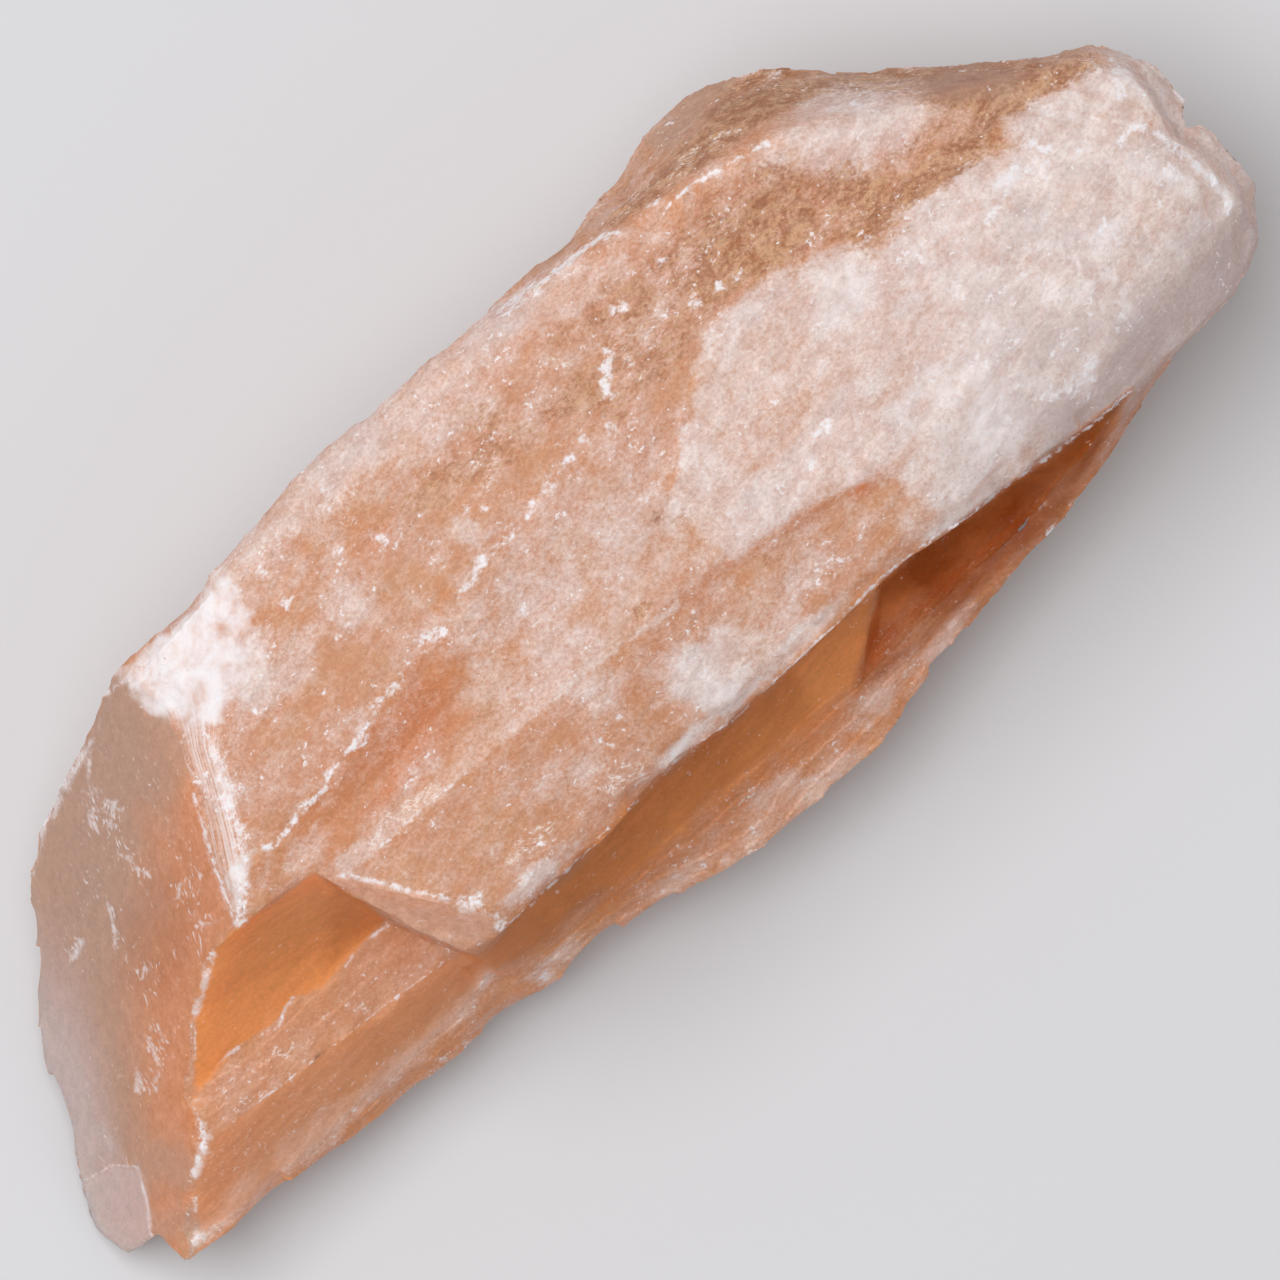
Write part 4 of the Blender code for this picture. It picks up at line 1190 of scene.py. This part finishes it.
# %% Unevenness of the crust
glass = coat("polish")
push = node("VectorMath", operation="MULTIPLY_ADD")
feed(push.inputs[0], clouds(laid((1.9, 1.9, 1.9)), 0.0, output="Color"))
push.inputs[1].default_value = (1.5 * MM, 1.5 * MM, 1.5 * MM)
feed(push.inputs[2], where)
curled = push.outputs[0]
veil = clouds(laid((4.6, 3.6, 3.6), 10, curled), 2.0, 0.6)
mottle = clouds(laid((1.6, 1.3, 1.3), 20, curled), 2.0, 0.6)
grain = clouds(laid((0.30, 0.26, 0.26)), 1.0, 0.9)
calm = less(times(glass, 0.80))
uneven = times(plus(about(veil, 0.36), about(mottle, 0.38), about(grain, 0.30)), calm)
streak = clouds(laid((6.0, 0.6, 0.6), 14), 1.0, 0.6)
uneven = plus(uneven, times(glass, about(streak, 0.16)))
print("nodes for the unevenness:", len(tree.nodes))

# %% [markdown]
# ## The stone's own colours, with painted glow and painted shade
#
# The colours are laid one over the other like glazes: clear orange under everything, the
# cream crust over it with damp grey patches, then iron brown, the tan and grey skin, the
# painted glow and the painted shade. The whites come last, in the next cell.

# %% Orange, cream, brown, grey, painted glow and painted shade
HONEY = (0.588, 0.272, 0.156, 1.0)
YELLOW_HONEY = (0.588, 0.284, 0.147, 1.0)
CLEAR_ORANGE = (0.595, 0.213, 0.088, 1.0)
CREAM = (0.850, 0.750, 0.732, 1.0)
BROWN = (0.350, 0.138, 0.062, 1.0)
OCHRE = (0.600, 0.340, 0.196, 1.0)
TAN = (0.466, 0.280, 0.203, 1.0)
GREY = (0.575, 0.450, 0.435, 1.0)
PAINTED_GLOW = (0.830, 0.312, 0.106, 1.0)
PAINTED_SHADE = (0.318, 0.074, 0.012, 1.0)

honey = over(step(veil, 0.30, 0.62), YELLOW_HONEY, HONEY)
orange = over(sums("ADD", coat("clear"), times(uneven, -0.6), True), honey, CLEAR_ORANGE)
pale_share = plus(coat("pale"), uneven)
colour = over(step(pale_share, -0.12, 1.12), orange, CREAM)
damp = step(plus(less(mottle), about(veil, 0.25), about(grain, 0.12)), 0.40, 0.68)
colour = over(times(damp, step(coat("pale"), 0.30, 0.75), 0.36), colour, GREY)
fibres = clouds(laid((1.7, 0.42, 0.42), -14, curled), 2.0, 0.8)
stain = plus(coat("iron"), about(fibres, 1.1), times(uneven, -0.5))
stain = times(step(stain, 0.10, 0.90), step(coat("iron"), 0.0, 0.25))
rust = over(step(plus(fibres, about(mottle, 0.5), about(grain, 0.3)), 0.26, 0.74), BROWN, OCHRE)
colour = over(times(stain, 0.92), colour, rust)
colour = over(coat("tan"), colour, TAN)
colour = over(coat("grey"), colour, GREY)
# Painted glow: a bright orange over the walls lit through the stone.
painted_glow_share = times(coat("painted_glow"), less(times(uneven, 0.8)))
colour = over(painted_glow_share, colour, PAINTED_GLOW)
# Painted shade: a dark brown laid where the deep coat marks the hollows and the lip's shadow.
colour = over(times(coat("deep"), plus(0.90, about(veil, 0.45))), colour, PAINTED_SHADE)
sparkle = node("VectorMath", operation="SCALE")
feed(sparkle.inputs[0], colour)
feed(sparkle.inputs["Scale"], plus(1.0, about(grain, 0.16), about(streak, 0.13)))
colour = sparkle.outputs[0]
print("nodes with the stone's own colours:", len(tree.nodes))

# %% [markdown]
# ## Whites and painted highlights
#
# A chip is a cluster of splinters, so its coat of distance is broken up by noise until only
# grains of it are left, dense in the middle and scattered outside. The slivers of the
# bruise are noise on the bruise's own two coats, which run across it and down it, so that
# the fibres follow its bend. Powder, scratches and the painted glints are noise that shows
# above a level, and their coats let more of it show. The painted curl highlights are where a
# curled noise crosses a level.

# %% White marks
WHITE = (0.920, 0.860, 0.880, 1.0)
SLIVER = (0.850, 0.740, 0.740, 1.0)
CURL_HIGHLIGHT = (0.870, 0.720, 0.650, 1.0)
ragged = clouds(laid((0.60, 0.50, 0.50), 12), 2.0, 0.8)
wild = less(times(glass, 0.5))
core = plus(less(coat("chip_gap")), times(plus(about(ragged, 2.2), about(mottle, 1.0)), wild))
chips = times(step(core, -0.15, 1.25), less(times(glass, 0.35)))

fibre_place = node("CombineXYZ")
feed(fibre_place.inputs[0], times(coat("sliver_across"), 19.0))
feed(fibre_place.inputs[1], times(coat("sliver_along"), 2.2))
felt = clouds(fibre_place.outputs[0], 2.0, 0.8)
felt = step(plus(felt, times(coat("slivers"), 0.40)), 0.58, 0.86)
felt = times(felt, step(coat("slivers"), 0.0, 0.25), less(times(coat("powder"), 0.85)))
dust = step(plus(coat("powder"), about(mottle, 0.5), about(felt, 0.3)), 0.22, 0.98)

strands = clouds(laid((0.62, 0.24, 0.4), 62, curled), 1.0, 0.7)
scratches = times(step(plus(strands, times(coat("scratches"), 0.30)), 0.75, 0.92), 0.62)

# Painted glints: tiny white sparkles on the crust, fewer on cleavage planes, none on painted shade.
painted_glints = step(plus(ragged, about(grain, 0.16), about(veil, 0.20)), 0.66, 0.76)
painted_glints = times(painted_glints, calm, less(coat("deep")))

# Painted highlights: thin bright curls where a curled noise crosses a level.
curl_highlight_line = less(step(sums("ABSOLUTE", sums("SUBTRACT", fibres, 0.5)), 0.015, 0.075))
curl_highlight_place = step(plus(coat("curl_highlights"), about(mottle, 0.8), about(ragged, 1.2)), 0.62, 0.95)
curl_highlights_seen = times(curl_highlight_line, curl_highlight_place)

colour = over(times(felt, 0.85), colour, SLIVER)
colour = over(times(curl_highlights_seen, 0.8), colour, CURL_HIGHLIGHT)
# This white holds the chips, powder and scratches, and the painted glints as well.
white = sums("MAXIMUM", sums("MAXIMUM", chips, dust), sums("MAXIMUM", times(painted_glints, 0.8), scratches))
colour = over(white, colour, WHITE)
feed(shader.inputs["Base Color"], colour)
print("nodes with the whites:", len(tree.nodes))

# %% [markdown]
# ## Gloss, relief and depth
#
# A cleavage plane has a satin gloss and the crust is duller. Relief too fine for the mesh is
# bump: grains and crystal corners on the crust. Light that sinks into calcite comes out
# again some millimetres off, reddened, so the shader scatters it below the surface. The
# white marks are crushed and opaque, so they scatter less, and that keeps them crisp.

# %% Gloss, bump and scattering
SCATTER_REACH = 6.0 * MM
SCATTER_COLOUR = (1.0, 0.40, 0.22)  # red light goes the furthest
RELIEF = 0.10 * MM
gloss = plus(0.60, times(glass, -0.16), about(grain, 0.12), times(white, 0.15))
feed(shader.inputs["Roughness"], gloss)
bump = node("Bump")
bump.inputs["Strength"].default_value = 1.0
bump.inputs["Distance"].default_value = RELIEF
feed(bump.inputs["Height"], times(grain, calm))
feed(shader.inputs["Normal"], bump.outputs["Normal"])
feed(shader.inputs["Specular IOR Level"], sums("SUBTRACT", 0.5, times(coat("painted_glow"), 0.38)))
shader.inputs["IOR"].default_value = 1.50
shader.subsurface_method = "BURLEY"  # as soft as a random walk, and quicker
feed(shader.inputs["Subsurface Weight"], sums("SUBTRACT", 0.85, times(white, 0.55)))
shader.inputs["Subsurface Radius"].default_value = SCATTER_COLOUR
shader.inputs["Subsurface Scale"].default_value = SCATTER_REACH
stone.data.materials.clear()
stone.data.materials.append(finish)
print("nodes in the finish:", len(tree.nodes))

# %% [markdown]
# ## Table
#
# The stone lies on a plain pale table. It is far wider than the picture, so that its edges
# are never seen, and dull, so that it gives the stone no sharp reflections.

# %% Table
TABLE_GREY = (0.72, 0.72, 0.74, 1.0)
TABLE_WIDTH = 6.0
bpy.ops.mesh.primitive_plane_add(size=TABLE_WIDTH, location=(0.0, 0.0, 0.0))
table = bpy.context.active_object
table.name = "table"
table_paint = bpy.data.materials.new("table_paint")
table_paint.use_nodes = True
table_shader = table_paint.node_tree.nodes["Principled BSDF"]
table_shader.inputs["Base Color"].default_value = TABLE_GREY
table_shader.inputs["Roughness"].default_value = 0.8
table.data.materials.append(table_paint)
table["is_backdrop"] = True
print("table:", TABLE_WIDTH, "m wide")

# %% [markdown]
# ## Light
#
# One large lamp almost overhead gives soft shade that still tells the faces apart. An even
# room light fills the hollows. A small lamp would print hard shadows on the milky stone.

# %% Lights
LAMP_FROM = Vector((-0.12, 0.24, 0.96)).normalized()
LAMP_WIDTH = 0.9
LAMP_POWER = 7.75
ROOM_LIGHT = 0.34
lamp = bpy.data.lights.new("soft_lamp", "AREA")
lamp.shape = "DISK"
lamp.size = LAMP_WIDTH
lamp.energy = LAMP_POWER
lamp_object = bpy.data.objects.new("soft_lamp", lamp)
bpy.context.scene.collection.objects.link(lamp_object)
lamp_object.location = LAMP_FROM
lamp_object.rotation_euler = LAMP_FROM.to_track_quat("Z", "Y").to_euler()

room = bpy.data.worlds.new("room")
room.use_nodes = True
room.node_tree.nodes["Background"].inputs["Color"].default_value = (1.0, 1.0, 1.0, 1.0)
room.node_tree.nodes["Background"].inputs["Strength"].default_value = ROOM_LIGHT
bpy.context.scene.world = room
bpy.context.scene.view_settings.view_transform = "Standard"
print("lamp:", LAMP_POWER, "W, room light:", ROOM_LIGHT)

# %% [markdown]
# ## Camera
#
# The camera looks straight down, turned so that the stone runs from the lower left of the
# picture to the upper right. A long lens from far off keeps the sides of the frame straight.

# %% Camera
RIGHT = Vector((0.7373, -0.6756, 0.0))
UP = Vector((0.6756, 0.7373, 0.0))
AIM = Vector((1.31, -3.86, 20.0)) * MM
FRAME_WIDTH = 77.8 * MM
CAMERA_HEIGHT = 1.5
camera = bpy.data.cameras.new("camera")
camera.sensor_width = 36.0
camera.lens = 36.0 * CAMERA_HEIGHT / FRAME_WIDTH
camera.clip_start = 0.05
camera.clip_end = 20.0
camera_object = bpy.data.objects.new("camera", camera)
bpy.context.scene.collection.objects.link(camera_object)
turn = Matrix((RIGHT, UP, Vector((0.0, 0.0, 1.0)))).transposed()
camera_object.matrix_world = Matrix.Translation(AIM + Vector((0.0, 0.0, CAMERA_HEIGHT))) @ turn.to_4x4()
bpy.context.scene.camera = camera_object
print("lens:", round(camera.lens), "mm")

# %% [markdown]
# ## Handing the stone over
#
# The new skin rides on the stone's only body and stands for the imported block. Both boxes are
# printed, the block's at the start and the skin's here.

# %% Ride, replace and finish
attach(stone, "root")
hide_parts("calcite")
low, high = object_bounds()
print("visual size:", [round((b - a) / MM, 1) for a, b in zip(low, high)], "mm")
